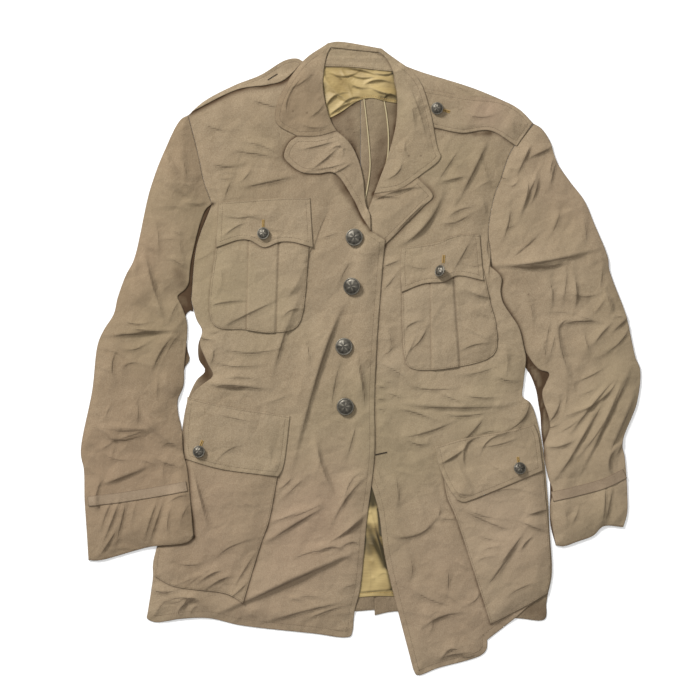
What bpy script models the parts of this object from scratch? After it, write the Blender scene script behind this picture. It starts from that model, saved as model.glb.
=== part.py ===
"""Khaki drill officer's jacket, unbuttoned and laid flat with its front up.

Every cloth piece is a slab of even wall laid over the pieces below it. All pieces share one
triangle net in plan, so a piece that lies on another follows it facet by facet.
+X is the wearer's left, +Y runs to the collar, +Z is up, and the table is z = 0.
"""

import math
from collections import namedtuple

import bmesh
import bpy
import numpy as np
from mathutils import Matrix, Vector
from mathutils.geometry import delaunay_2d_cdt

# Driving sizes in millimetres.
MM = 0.001
DRILL = 1.8
DRILL_THIN = 1.5
SATIN = 1.2
BRAID = 1.3
LAY_GAP = 0.35
SEAM_GAP = 0.32
NET_PITCH = 25.0
CREST_PITCH = 18.0
NET_CLEAR = 15.5
CREST_CLEAR = 9.5
FOOT_CLEAR = 8.0
CURVE_STEP = 3.0
CURVE_TOLERANCE = 0.6
DRAPE_SLOPE = 0.85
EDGE_FADE = 26.0
TAPE_WIDTH = 3.6
ORIGIN_SHIFT = (-0.16, 0.11)

Fold = namedtuple("Fold", "sheet x0 y0 xm ym x1 y1 left right height")
Piece = namedtuple("Piece", "name outline wall finish puff")
Button = namedtuple("Button", "name x y radius sheet lean turn")
Finish = namedtuple("Finish", "red green blue rough metal")

FINISHES = {
    "drill": Finish(0.36, 0.26, 0.16, 0.86, 0.0),
    "drill_inside": Finish(0.40, 0.28, 0.18, 0.86, 0.0),
    "satin": Finish(0.55, 0.40, 0.16, 0.42, 0.0),
    "tape": Finish(0.58, 0.47, 0.30, 0.60, 0.0),
    "braid": Finish(0.38, 0.27, 0.17, 0.80, 0.0),
    "button": Finish(0.035, 0.028, 0.022, 0.42, 0.85),
}

# Seam and edge lines of the laid garment: (x, y) in mm, a smooth curve runs through each row.
LINES = {
    "shoulder_right": (
        (-72, 383), (-99, 362), (-134, 353), (-157, 351), (-181, 341), (-203, 333), (-225, 317),
    ),
    "armhole_right": ((-225, 317), (-211, 261), (-205, 232), (-194, 201)),
    "side_right_arm": ((-194, 201), (-214, 146), (-221, 76)),
    "front_side_right": (
        (-221, 76), (-214, 50), (-206.5, 36), (-209, 26), (-209.5, 17), (-199.5, -7), (-193, -22),
        (-205, -33), (-216, -42), (-223, -53), (-229, -70), (-232, -86), (-238, -158),
        (-266, -246), (-271, -268), (-271, -285), (-278, -332),
    ),
    "side_right": (
        (-221, 76), (-214, 50), (-207, 36), (-212, 18), (-211, -2), (-203, -16), (-214, -28),
        (-224, -48.7), (-229, -67), (-232, -86), (-238, -158), (-266, -246), (-271, -268),
        (-271, -285), (-278, -332),
    ),
    "hem_right": (
        (-278, -332), (-279, -339), (-268, -344), (-252, -342.5), (-238, -340), (-199, -338.7),
        (-157, -348), (-60, -359), (-21, -364), (-13, -362), (-10, -353),
    ),
    "edge_right": (
        (-10, -353), (-8, -330), (-1, -301), (8, -210), (18, -125), (18, -54), (21, 18), (29, 125),
        (32, 154),
    ),
    "top_right": ((32, 154), (13, 166)),
    "roll_right": ((13, 166), (12, 187), (7, 199), (3, 235), (-4, 261), (-14, 280), (-31, 296)),
    "neck_right": ((-31, 296), (-42, 314), (-53, 362), (-72, 383)),
    "gorge_right": ((-31, 296), (-56, 289), (-83, 289)),
    "lapel_edge_right": (
        (-83, 289), (-94, 280), (-100, 263), (-95, 255), (-77, 242), (-56, 240), (-35, 241), (-9, 206),
        (1, 185), (13, 166),
    ),
    "collar_edge_right": ((-83, 289), (-110, 306), (-109, 331), (-76, 387), (-43, 411)),
    "collar_top": ((-43, 411), (-30, 413), (27, 404)),
    "collar_edge_left": ((27, 404), (74, 365), (90, 323), (100, 274), (104, 261), (74, 235)),
    "gorge_left": ((74, 235), (51, 220), (17, 214)),
    "collar_roll_left": ((17, 214), (36, 266), (47, 317), (43, 367), (35, 388), (25, 398)),
    "collar_back_roll": ((25, 398), (-39, 405)),
    "collar_roll_right": ((-39, 405), (-44, 395), (-49, 352), (-39, 310), (-31, 296)),
    "shoulder_left": ((53, 383), (77, 374), (155, 349), (207, 324), (225, 306)),
    "armhole_left": ((225, 306), (196, 270), (182, 232), (174, 211), (166, 162), (169, 141), (169, 120)),
    "side_left": (
        (169, 120), (183, 104.5), (182, 88), (185, 73.5), (196.5, 55), (206, 40), (212, 16),
        (215, 2), (214.5, -10), (212, -33), (211, -50), (221, -58), (234, -99), (244, -184),
        (246, -223), (249, -281), (244, -307),
    ),
    "hem_left": ((244, -307), (220, -322), (203, -337), (165, -367)),
    "hem_front_left": ((165, -367), (164, -379), (157, -387), (100, -404), (73, -413), (68, -405)),
    "edge_left": ((68, -405), (32, -262), (21, -190), (4, -138), (-6, -93), (-14, 24), (-4, 138)),
    "roll_left": ((-4, 138), (0, 164), (17, 214)),
    "neck_left": ((17, 214), (43, 289), (47, 343), (43, 367), (53, 383)),
    "lapel_edge_left": ((74, 235), (94, 211), (82, 198), (61, 177), (14, 136), (-4, 138)),
    "strap_right": (
        (-222, 320), (-203, 336), (-165, 356), (-131, 369.5), (-98, 389), (-83, 391), (-75, 387),
    ),
    "strap_right_lower": ((-75, 387), (-100, 362), (-121, 356), (-160, 350), (-222, 320)),
    "strap_left_upper": ((77, 352), (142, 341), (181, 337), (207, 324), (224, 306)),
    "strap_left_end": ((224, 306), (203, 276)),
    "strap_left_lower": ((203, 276), (168, 296), (131, 293), (95, 300)),
    "strap_left_tip": ((95, 300), (82, 307), (74, 328), (77, 352)),
    "sleeve_outer_right": (
        (-225, 317), (-235, 311), (-256, 270), (-275, 219), (-296, 128), (-306, 109), (-317, 79),
        (-322, 58), (-335, 37), (-343, 18), (-350, -41), (-365, -122), (-361, -145), (-360, -184),
        (-357, -229), (-355, -263),
    ),
    "cuff_right": ((-355, -263), (-342, -263.5), (-274, -245.5), (-225, -239), (-217, -232)),
    "sleeve_inner_right": (
        (-217, -232), (-226, -142), (-231, -122), (-233, -93), (-238, -70), (-238, -54), (-231, -36),
        (-230, -12), (-226, 44), (-243, 92), (-238, 112), (-226, 125), (-209, 177), (-202, 194),
        (-194, 201),
    ),
    "under_inner_right": (
        (-217, -232), (-225, -203), (-230, -142), (-235, -122), (-237, -93), (-240, -51),
        (-234, -36), (-229, -12), (-223, -2), (-226, 11), (-228, 40), (-228, 55), (-222.5, 65),
        (-221, 76),
    ),
    "sleeve_outer_left": (
        (225, 306), (235, 300), (246, 284), (256, 255), (272, 231), (291, 206), (304, 176), (322, 131),
        (324, 115), (346, 55), (354, 18), (358, 1), (364, -15), (360, -57), (341, -110), (344, -129),
        (347, -171), (347, -202), (342, -220),
    ),
    "cuff_left": ((342, -220), (316, -219), (303, -231), (282, -239), (264, -245), (254, -244)),
    "sleeve_inner_left": (
        (254, -244), (246, -194), (250, -174), (244, -155), (238, -116), (246, -88), (236, -45),
        (241, -32), (245.5, -19), (237, -10), (221, 14), (206, 36), (190, 52), (177, 76),
        (177, 97), (171, 106), (169, 120),
    ),
    "under_inner_left": (
        (254, -244), (247, -216), (246, -158), (241, -135), (235, -93), (234, -75), (231.5, -60),
        (228.5, -42), (221, -22), (212, -8), (203, 12), (198, 32), (184, 56), (174, 80),
        (174, 97), (169, 120),
    ),
    "back_shoulder_right": (
        (0, 391), (-43, 391), (-72, 383), (-98, 369), (-129, 356), (-157, 349), (-203, 331), (-225, 317),
    ),
    "back_hem_right": ((-278, -332), (-259, -339), (-199, -335), (-79, -335), (18, -328)),
    "back_shoulder_left": ((0, 391), (30, 391), (77, 372), (168, 341), (204, 323), (225, 306)),
    "back_hem_left": (
        (244, -307), (242, -320), (240, -340), (203, -339), (116, -337), (46, -330), (18, -335),
    ),
    "bpr_flap_top": ((-186, 203), (-99, 209), (-66, 209)),
    "bpr_flap_front": ((-66, 209), (-62, 144)),
    "bpr_flap_scallop": (
        (-62, 144), (-90, 151), (-105, 151), (-126, 144), (-144, 153), (-157, 154), (-188, 144),
    ),
    "bpr_flap_side": ((-188, 144), (-186, 203)),
    "bpr_bag": ((-188, 159), (-192, 44), (-151, 37), (-118, 33), (-87, 38), (-78, 49), (-66, 159)),
    "bpl_flap_top": ((52, 144), (99, 151), (118, 159), (135, 162), (155, 161)),
    "bpl_flap_side": ((155, 161), (160, 101)),
    "bpl_flap_scallop": ((160, 101), (125, 107), (107, 99), (83, 97), (53, 86)),
    "bpl_flap_front": ((53, 86), (51, 115), (52, 144)),
    "bpl_bag": (
        (53, 105), (56, 5), (61, -10), (72, -15), (109, -14), (165, -1), (176, 10), (176, 44), (168, 76),
        (160, 115),
    ),
    "spr_flap_top": ((-226, -50), (-190, -59), (-92, -75)),
    "spr_flap_front": ((-92, -75), (-101, -142), (-107, -154)),
    "spr_flap_lower": ((-107, -154), (-183, -144), (-229, -131)),
    "spr_flap_side": ((-229, -131), (-231, -106), (-226, -50)),
    "spr_bag_front": ((-105, -135), (-120, -214), (-129, -239), (-153, -318)),
    "spr_bag_lower": ((-153, -318), (-174, -307), (-246, -296), (-268, -284)),
    "spr_bag_side": ((-268, -284), (-264, -246), (-237, -164), (-230, -125)),
    "spl_flap_top": ((96, -115), (139, -103), (196, -93), (225, -85)),
    "spl_flap_side": ((225, -85), (231, -99), (237, -146)),
    "spl_flap_lower": ((237, -146), (144, -184), (133, -187), (125, -184)),
    "spl_flap_front": ((125, -184), (116, -172), (103, -145), (96, -115)),
    "spl_bag_front": ((107, -150), (112, -180), (122, -203), (169, -346)),
    "spl_bag_lower": ((169, -346), (220, -320), (243, -306)),
    "spl_bag_side": ((243, -306), (247, -281), (237, -135)),
    "yoke_top": ((-58, 385), (-4, 383), (53, 380)),
    "yoke_left": ((53, 380), (56, 331)),
    "yoke_edge": ((56, 331), (31, 335), (14, 339), (-4, 335), (-27, 320), (-42, 313), (-57, 315)),
    "yoke_right": ((-57, 315), (-58, 385)),
    "stand_top": ((-47, 404), (-6, 407), (33, 395)),
    "stand_left": ((33, 395), (51, 372)),
    "stand_edge": ((51, 372), (12, 376), (-14, 379), (-53, 380)),
    "stand_right": ((-53, 380), (-47, 404)),
    "slit_top": ((-25, -155), (14, -150), (46, -158)),
    "slit_left": ((46, -158), (66, -311)),
    "slit_hem": ((66, -311), (18, -310), (-25, -314)),
    "slit_right": ((-25, -314), (-25, -155)),
    "back_centre": ((18, -328), (1, 76), (0, 391)),
    "back_centre_left": ((18, -335), (1, 76), (0, 391)),
    "bpr_bag_top": ((-66, 159), (-188, 159)),
    "bpl_bag_top": ((160, 115), (53, 105)),
    "spr_bag_top": ((-230, -125), (-105, -135)),
    "spl_bag_top": ((237, -135), (107, -150)),
}

# Straight-edged strips: a centre line and a width give the outline.
STRIPS = {
    "seam_tape_right": ((4, 338), (7, 313), (10, 284), (12, 251), (9, 225), (4, 200)),
    "seam_tape_left": ((30, 338), (34, 313), (36, 284), (34, 258), (25, 230), (14, 200)),
    "cuff_braid_right": ((-355, -186), (-313, -181), (-268, -174), (-226, -166)),
    "cuff_braid_left": ((344, -150), (316, -163), (284, -172), (249, -180)),
}
BRAID_WIDTH = 13.0

# Pieces from the table upwards. A minus turns a line round, "strip" takes a row of STRIPS.
PIECES = (
    Piece("sleeve_left_under", "sleeve_outer_left cuff_left under_inner_left -armhole_left",
          DRILL_THIN, "drill", 0.0),
    Piece("sleeve_left_top", "sleeve_outer_left cuff_left sleeve_inner_left -armhole_left",
          DRILL, "drill", 1.6),
    Piece("cuff_braid_left", "strip", BRAID, "braid", 0.0),
    Piece("back_left", "back_shoulder_left armhole_left side_left back_hem_left back_centre_left",
          DRILL_THIN, "drill_inside", 0.0),
    Piece("back_right", "back_shoulder_right armhole_right side_right_arm side_right "
          "back_hem_right back_centre",
          DRILL_THIN, "drill_inside", 0.0),
    Piece("seam_tape_right", "strip", SATIN, "tape", 0.0),
    Piece("seam_tape_left", "strip", SATIN, "tape", 0.0),
    Piece("neck_lining", "yoke_top yoke_left yoke_edge yoke_right", SATIN, "satin", 0.0),
    Piece("collar_stand", "stand_top stand_left stand_edge stand_right", DRILL_THIN, "drill", 0.0),
    Piece("skirt_lining", "slit_top slit_left slit_hem slit_right", SATIN, "satin", 0.0),
    Piece("front_left", "shoulder_left armhole_left side_left hem_left hem_front_left edge_left "
          "roll_left neck_left", DRILL, "drill", 1.2),
    Piece("front_right", "shoulder_right armhole_right side_right_arm front_side_right "
          "hem_right edge_right top_right roll_right neck_right", DRILL, "drill", 1.2),
    Piece("breast_pocket_right", "bpr_bag bpr_bag_top", DRILL_THIN, "drill", 1.2),
    Piece("breast_pocket_left", "bpl_bag bpl_bag_top", DRILL_THIN, "drill", 1.2),
    Piece("breast_flap_right", "bpr_flap_top bpr_flap_front bpr_flap_scallop bpr_flap_side",
          DRILL, "drill", 0.8),
    Piece("breast_flap_left", "bpl_flap_top bpl_flap_side bpl_flap_scallop bpl_flap_front",
          DRILL, "drill", 0.8),
    Piece("skirt_pocket_right", "spr_bag_front spr_bag_lower spr_bag_side spr_bag_top",
          DRILL_THIN, "drill", 2.0),
    Piece("skirt_pocket_left", "spl_bag_front spl_bag_lower spl_bag_side spl_bag_top",
          DRILL_THIN, "drill", 2.0),
    Piece("skirt_flap_right", "spr_flap_top spr_flap_front spr_flap_lower spr_flap_side",
          DRILL, "drill", 0.8),
    Piece("skirt_flap_left", "spl_flap_top spl_flap_side spl_flap_lower spl_flap_front",
          DRILL, "drill", 0.8),
    Piece("sleeve_right_under", "sleeve_outer_right cuff_right under_inner_right "
          "-side_right_arm -armhole_right",
          DRILL_THIN, "drill", 0.0),
    Piece("sleeve_right_top", "sleeve_outer_right cuff_right sleeve_inner_right -armhole_right",
          DRILL, "drill", 1.6),
    Piece("cuff_braid_right", "strip", BRAID, "braid", 0.0),
    Piece("lapel_right", "gorge_right lapel_edge_right roll_right", DRILL, "drill", 0.8),
    Piece("lapel_left", "lapel_edge_left roll_left -gorge_left", DRILL, "drill", 0.8),
    Piece("shoulder_strap_right", "strap_right strap_right_lower", DRILL, "drill", 0.5),
    Piece("shoulder_strap_left", "strap_left_upper strap_left_end strap_left_lower strap_left_tip",
          DRILL, "drill", 0.5),
    Piece("collar", "collar_roll_right gorge_right collar_edge_right collar_top collar_edge_left "
          "gorge_left collar_roll_left collar_back_roll", DRILL, "drill", 1.0),
)

# The largest folds: start, middle and end of the crest, foot to the left and right, height.
FOLDS = (
    Fold("front_right", -20, 72, -53, -7, -92, -155, 13, 13, 10),
    Fold("front_right", -60, -106, -48, -151, -29, -188, 11, 11, 6),
    Fold("front_right", -73, 125, -84, 96, -99, 76, 11, 11, 4),
    Fold("front_right", -75, 89, -98, 37, -118, -34, 12, 12, 6),
    Fold("front_right", -205, -25, -157, -27, -105, -36, 13, 12, 7),
    Fold("front_right", -194, -336, -92, -288, 1, -248, 16, 15, 12),
    Fold("front_right", -129, -242, -83, -213, -40, -188, 12, 12, 6),
    Fold("front_right", -36, -236, -14, -220, 6, -202, 10, 10, 5),
    Fold("front_right", 10, -150, -21, -184, -40, -223, 11, 11, 6),
    Fold("front_right", -129, -345, -73, -328, -14, -315, 10, 10, 6),
    Fold("front_right", -155, 326, -129, 304, -103, 281, 14, 14, 6),
    Fold("front_right", -157, 223, -125, 229, -78, 240, 13, 12, 5),
    Fold("front_right", -169, 271, -138, 267, -108, 262, 11, 11, 4),
    Fold("front_right", -12, 11, 0, -28, 4, -70, 10, 9, 4),
    Fold("front_right", -255, -317, -225, -311, -196, -330, 11, 11, 5),
    Fold("front_left", 109, 222, 84, 174, 44, 144, 13, 12, 8),
    Fold("front_left", 165, 284, 148, 248, 122, 197, 13, 13, 7),
    Fold("front_left", 103, 177, 122, 177, 144, 190, 10, 10, 4),
    Fold("front_left", 25, -6, 53, -20, 74, -42, 12, 11, 6),
    Fold("front_left", 21, -72, 35, -93, 53, -122, 12, 12, 7),
    Fold("front_left", 51, -57, 118, -63, 207, -60, 14, 14, 9),
    Fold("front_left", 51, -102, 90, -94, 129, -77, 11, 11, 5),
    Fold("front_left", 159, -77, 147, -93, 133, -106, 10, 10, 4),
    Fold("front_left", 66, -124, 82, -151, 104, -193, 12, 12, 5),
    Fold("front_left", 94, -216, 120, -242, 138, -275, 13, 12, 6),
    Fold("front_left", 35, -229, 77, -227, 105, -194, 12, 12, 5),
    Fold("front_left", 57, -288, 87, -311, 131, -324, 12, 12, 5),
    Fold("front_left", 77, -353, 105, -335, 142, -330, 11, 11, 5),
    Fold("front_left", 99, -392, 122, -385, 152, -383, 9, 9, 4),
    Fold("front_left", 214, -44, 212, -77, 170, -102, 11, 11, 5),
    Fold("skirt_pocket_left", 122, -190, 161, -210, 207, -227, 11, 11, 4),
    Fold("skirt_pocket_left", 181, -265, 194, -249, 213, -223, 11, 11, 5),
    Fold("skirt_pocket_right", -218, -145, -207, -184, -194, -229, 11, 11, 4),
    Fold("sleeve_right_top", -254, 268, -246, 245, -222, 211, 12, 12, 7),
    Fold("sleeve_right_top", -281, 135, -272, 96, -255, 44, 13, 13, 6),
    Fold("sleeve_right_top", -329, 29, -294, 33, -234, 36, 13, 13, 8),
    Fold("sleeve_right_top", -246, 29, -261, 8, -272, -16, 11, 11, 6),
    Fold("sleeve_right_top", -274, -54, -255, -86, -233, -115, 12, 12, 7),
    Fold("sleeve_right_top", -339, -90, -303, -93, -268, -89, 12, 12, 5),
    Fold("sleeve_right_top", -335, -163, -311, -154, -278, -141, 12, 12, 7),
    Fold("sleeve_right_top", -324, -184, -332, -203, -339, -223, 10, 10, 4),
    Fold("sleeve_right_top", -264, -181, -274, -210, -283, -239, 10, 10, 5),
    Fold("sleeve_right_top", -261, -19, -248, -36, -235, -53, 10, 10, 5),
    Fold("sleeve_left_top", 170, 120, 239, 127, 316, 145, 16, 14, 11),
    Fold("sleeve_left_top", 233, 164, 212, 144, 190, 128, 12, 12, 6),
    Fold("sleeve_left_top", 222, 278, 212, 258, 202, 237, 10, 10, 5),
    Fold("sleeve_left_top", 254, 258, 250, 242, 246, 224, 9, 9, 5),
    Fold("sleeve_left_top", 230, 242, 217, 213, 208, 188, 12, 12, 6),
    Fold("sleeve_left_top", 255, 55, 261, 5, 282, -47, 13, 13, 7),
    Fold("sleeve_left_top", 259, 44, 285, 49, 313, 47, 11, 11, 6),
    Fold("sleeve_left_top", 337, -18, 300, -60, 266, -106, 13, 13, 8),
    Fold("sleeve_left_top", 352, -10, 326, -67, 282, -155, 13, 12, 7),
    Fold("sleeve_left_top", 358, -44, 339, -86, 317, -135, 12, 12, 8),
    Fold("sleeve_left_top", 244, -115, 259, -114, 277, -106, 10, 10, 6),
    Fold("sleeve_left_top", 337, -114, 322, -135, 333, -167, 11, 11, 8),
    Fold("sleeve_left_top", 328, -164, 322, -194, 317, -215, 10, 10, 5),
    Fold("sleeve_left_top", 274, 109, 280, 86, 277, 63, 11, 11, 4),
    Fold("sleeve_left_top", 317, 89, 322, 72, 329, 55, 11, 11, 4),
    Fold("lapel_right", -12, 198, -26, 222, -51, 235, 10, 10, 3),
    Fold("lapel_left", 25, 210, 51, 219, 77, 223, 10, 9, 6),
    Fold("lapel_left", 87, 206, 64, 184, 40, 159, 8, 8, 3),
    Fold("collar", -95, 313, -95, 339, -72, 372, 12, 12, 3),
    Fold("collar", 87, 271, 74, 323, 56, 365, 12, 12, 4),
)

# Shank buttons: centre, radius, the sheet they sit on, lean in degrees and where it leans to.
BUTTONS = (
    Button("button_front_1", -8.3, 157.3, 11.4, "lapel_right", 0, 0),
    Button("button_front_2", -11.2, 93.7, 11.4, "front_right", 6, 200),
    Button("button_front_3", -21.6, 15.1, 11.4, "front_right", 5, 150),
    Button("button_front_4", -20.0, -62.7, 11.4, "front_right", 5, 190),
    Button("button_breast_right", -126.6, 161.9, 8.0, "breast_flap_right", 5, 180),
    Button("button_breast_left", 104.0, 112.8, 8.0, "breast_flap_left", 42, 165),
    Button("button_skirt_right", -210.3, -121.5, 8.0, "skirt_flap_right", 6, 120),
    Button("button_skirt_left", 206.2, -143.0, 8.0, "skirt_flap_left", 8, 60),
    Button("button_strap_left", 99.5, 324.9, 8.0, "shoulder_strap_left", 10, 200),
)
BUTTON_SIDES = 14
BUTTON_THICK = 2.4
BUTTON_DOME = 1.5
RIM_SHARE = 0.82
SHANK_RADIUS = 1.9
SHANK_LENGTH = 1.6

OUT_OF_PLAN = 1.0e6


def clear_scene():
    """Remove every object that is there before the build."""
    for item in list(bpy.data.objects):
        bpy.data.objects.remove(item, do_unlink=True)


def smooth_line(points, step=CURVE_STEP):
    """Points along a centripetal curve through the given points."""
    knots = np.array(points, dtype=float)
    if len(knots) == 2:
        count = max(2, int(np.linalg.norm(knots[1] - knots[0]) / step))
        return knots[0] + (knots[1] - knots[0]) * np.linspace(0.0, 1.0, count)[:, None]
    ends = np.vstack([2 * knots[0] - knots[1], knots, 2 * knots[-1] - knots[-2]])
    out = []
    for i in range(len(knots) - 1):
        p0, p1, p2, p3 = ends[i:i + 4]
        t1 = math.sqrt(np.linalg.norm(p1 - p0))
        t2 = t1 + math.sqrt(np.linalg.norm(p2 - p1))
        t3 = t2 + math.sqrt(np.linalg.norm(p3 - p2))
        count = max(2, int(np.linalg.norm(p2 - p1) / step))
        t = np.linspace(t1, t2, count, endpoint=False)[:, None]
        a1 = (t1 - t) / t1 * p0 + t / t1 * p1
        a2 = (t2 - t) / (t2 - t1) * p1 + (t - t1) / (t2 - t1) * p2
        a3 = (t3 - t) / (t3 - t2) * p2 + (t - t2) / (t3 - t2) * p3
        b1 = (t2 - t) / t2 * a1 + t / t2 * a2
        b2 = (t3 - t) / (t3 - t1) * a2 + (t - t1) / (t3 - t1) * a3
        out.append((t2 - t) / (t2 - t1) * b1 + (t - t1) / (t2 - t1) * b2)
    out.append(knots[-1:])
    return np.vstack(out)


def segment_distance(points, starts, ends):
    """Distance of each point to each segment, and where along the segment it is met."""
    along = ends - starts
    length2 = np.maximum((along ** 2).sum(axis=1), 1e-12)
    rel = points[:, None, :] - starts[None, :, :]
    share = np.clip((rel * along[None]).sum(axis=2) / length2, 0.0, 1.0)
    gap = rel - share[:, :, None] * along[None]
    return np.hypot(gap[:, :, 0], gap[:, :, 1]), share


def thin_line(points, tolerance=CURVE_TOLERANCE):
    """Drop the points a line does not need to stay within the tolerance."""
    if len(points) < 3:
        return points
    gaps = segment_distance(points[1:-1], points[:1], points[-1:])[0][:, 0]
    worst = int(np.argmax(gaps))
    if gaps[worst] <= tolerance:
        return np.vstack([points[:1], points[-1:]])
    cut = worst + 1
    first = thin_line(points[:cut + 1], tolerance)
    second = thin_line(points[cut:], tolerance)
    return np.vstack([first, second[1:]])


def signed_area(loop):
    """Area of a closed loop, positive when it runs anticlockwise."""
    x, y = loop[:, 0], loop[:, 1]
    return 0.5 * float(np.sum(x * np.roll(y, -1) - np.roll(x, -1) * y))


def draw_in(loop, amount):
    """Move a closed anticlockwise loop inwards by the amount."""
    before = loop - np.roll(loop, 1, axis=0)
    after = np.roll(loop, -1, axis=0) - loop
    before /= np.linalg.norm(before, axis=1)[:, None]
    after /= np.linalg.norm(after, axis=1)[:, None]
    n1 = np.stack([-before[:, 1], before[:, 0]], axis=1)
    n2 = np.stack([-after[:, 1], after[:, 0]], axis=1)
    mitre = n1 + n2
    size = np.maximum((mitre * n1).sum(axis=1), 0.35)
    return loop + mitre / size[:, None] * amount


def strip_loop(name):
    """Outline of a strip from its centre line and width."""
    width = TAPE_WIDTH if name.startswith("seam") else BRAID_WIDTH
    centre = thin_line(smooth_line(STRIPS[name]), 0.3)
    way = np.gradient(centre, axis=0)
    way /= np.linalg.norm(way, axis=1)[:, None]
    side = np.stack([-way[:, 1], way[:, 0]], axis=1) * width / 2
    return np.vstack([centre + side, (centre - side)[::-1]])


def outline_loop(piece):
    """Closed anticlockwise outline of a piece, drawn in by half the seam gap."""
    if piece.outline == "strip":
        loop = strip_loop(piece.name)
    else:
        runs = []
        for word in piece.outline.split():
            run = thin_line(smooth_line(LINES[word.lstrip("-")]))
            runs.append(run[::-1] if word.startswith("-") else run)
        closed = np.vstack(runs)
        near = np.linalg.norm(closed - np.roll(closed, 1, axis=0), axis=1) < 0.4
        loop = closed[~near]
    if signed_area(loop) < 0:
        loop = loop[::-1]
    return draw_in(loop, SEAM_GAP / 2)


def inside(points, loop):
    """Which points lie inside a closed loop."""
    x, y = points[:, 0][:, None], points[:, 1][:, None]
    x0, y0 = loop[:, 0][None], loop[:, 1][None]
    x1, y1 = np.roll(loop[:, 0], -1)[None], np.roll(loop[:, 1], -1)[None]
    spans = (y0 > y) != (y1 > y)
    rise = np.where(y1 == y0, 1e-12, y1 - y0)
    hits = spans & (x < x0 + (y - y0) / rise * (x1 - x0))
    return hits.sum(axis=1) % 2 == 1


def crest_points(fold, pitch):
    """Points along the crest of a fold, with the way it runs and its share of the height."""
    a, m, b = ((fold.x0, fold.y0), (fold.xm, fold.ym), (fold.x1, fold.y1))
    a, m, b = np.array(a, float), np.array(m, float), np.array(b, float)
    length = np.linalg.norm(m - a) + np.linalg.norm(b - m)
    t = np.linspace(0.0, 1.0, max(3, int(round(length / pitch)) + 1))[:, None]
    points = a * (1 - t) * (1 - 2 * t) + m * 4 * t * (1 - t) + b * t * (2 * t - 1)
    way = a * (4 * t - 3) + m * (4 - 8 * t) + b * (4 * t - 1)
    way /= np.linalg.norm(way, axis=1)[:, None]
    share = np.minimum(1.0, np.minimum(t[:, 0], 1 - t[:, 0]) / 0.22)
    return points, way, share


def fold_height(points, sheet):
    """Height of the folds of one sheet at the given points."""
    height = np.zeros(len(points))
    for fold in FOLDS:
        if fold.sheet != sheet:
            continue
        crest, way, share = crest_points(fold, 4.0)
        gap, along = segment_distance(points, crest[:-1], crest[1:])
        best = np.argmin(gap, axis=1)
        rows = np.arange(len(points))
        off = points - crest[best]
        side = way[best, 0] * off[:, 1] - way[best, 1] * off[:, 0]
        reach = np.where(side > 0, fold.left, fold.right)
        drop = np.clip(1.0 - gap[rows, best] / reach, 0.0, 1.0)
        tall = share[best] + (share[best + 1] - share[best]) * along[rows, best]
        height = np.maximum(height, fold.height * tall * drop * drop * (3 - 2 * drop))
    return height


def make_net(loops):
    """The shared triangle net: fold crests and feet first, then an even pattern between."""
    kept = np.empty((0, 2))

    def add(candidates, clear):
        nonlocal kept
        for point in candidates:
            if len(kept) == 0 or np.min(np.hypot(*(kept - point).T)) >= clear:
                kept = np.vstack([kept, point])

    for fold in sorted(FOLDS, key=lambda row: -row.height):
        add(crest_points(fold, CREST_PITCH)[0], CREST_CLEAR)
    for fold in sorted(FOLDS, key=lambda row: -row.height):
        points, way, _ = crest_points(fold, CREST_PITCH * 1.15)
        side = np.stack([-way[:, 1], way[:, 0]], axis=1)
        add(points + side * fold.left, FOOT_CLEAR)
        add(points - side * fold.right, FOOT_CLEAR)
    everything = np.vstack(loops)
    low = everything.min(axis=0) - 2.2 * NET_PITCH
    high = everything.max(axis=0) + 2.2 * NET_PITCH
    row_step = NET_PITCH * math.sqrt(3.0) / 2
    pattern = []
    for row in range(int((high[1] - low[1]) / row_step) + 1):
        shift = NET_PITCH / 2 if row % 2 else 0.0
        for col in range(int((high[0] - low[0]) / NET_PITCH) + 1):
            pattern.append((low[0] + col * NET_PITCH + shift + 0.137, low[1] + row * row_step))
    add(np.array(pattern), NET_CLEAR)
    found = delaunay_2d_cdt([Vector(p) for p in kept], [], [], 0, 1e-4)
    nodes = np.array([tuple(v) for v in found[0]])
    tris = np.array([tuple(f) for f in found[2]])
    return nodes, tris


def bary(points, nodes, tris):
    """For each point, the triangle it lies in and its three weights."""
    a, b, c = nodes[tris[:, 0]], nodes[tris[:, 1]], nodes[tris[:, 2]]
    det = (b[:, 0] - a[:, 0]) * (c[:, 1] - a[:, 1]) - (c[:, 0] - a[:, 0]) * (b[:, 1] - a[:, 1])
    rel_x = points[:, 0][:, None] - a[None, :, 0]
    rel_y = points[:, 1][:, None] - a[None, :, 1]
    v = (rel_x * (c[:, 1] - a[:, 1]) - (c[:, 0] - a[:, 0]) * rel_y) / det
    w = ((b[:, 0] - a[:, 0]) * rel_y - rel_x * (b[:, 1] - a[:, 1])) / det
    least = np.minimum(np.minimum(1 - v - w, v), w)
    best = np.argmax(least, axis=1)
    rows = np.arange(len(points))
    weights = np.stack([1 - v - w, v, w], axis=2)[rows, best]
    return best, weights


def box_touch(nodes, tris, loop):
    """Triangles whose box meets the box of the loop."""
    low, high = loop.min(axis=0), loop.max(axis=0)
    corner = nodes[tris]
    small, big = corner.min(axis=1), corner.max(axis=1)
    return np.where(((big >= low) & (small <= high)).all(axis=1))[0]


def arrange(loops, nodes, edges):
    """Triangulate loops and net edges together; gives the points and triangles."""
    points, lines = [], []
    for loop in loops:
        base = len(points)
        points.extend(Vector(p) for p in loop)
        lines.extend((base + i, base + (i + 1) % len(loop)) for i in range(len(loop)))
    used = {}
    for pair in edges:
        for node in pair:
            if node not in used:
                used[node] = len(points)
                points.append(Vector(nodes[node]))
        lines.append((used[pair[0]], used[pair[1]]))
    found = delaunay_2d_cdt(points, lines, [], 0, 0.02)
    return np.array([tuple(v) for v in found[0]]), np.array([tuple(f) for f in found[2]])


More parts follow.
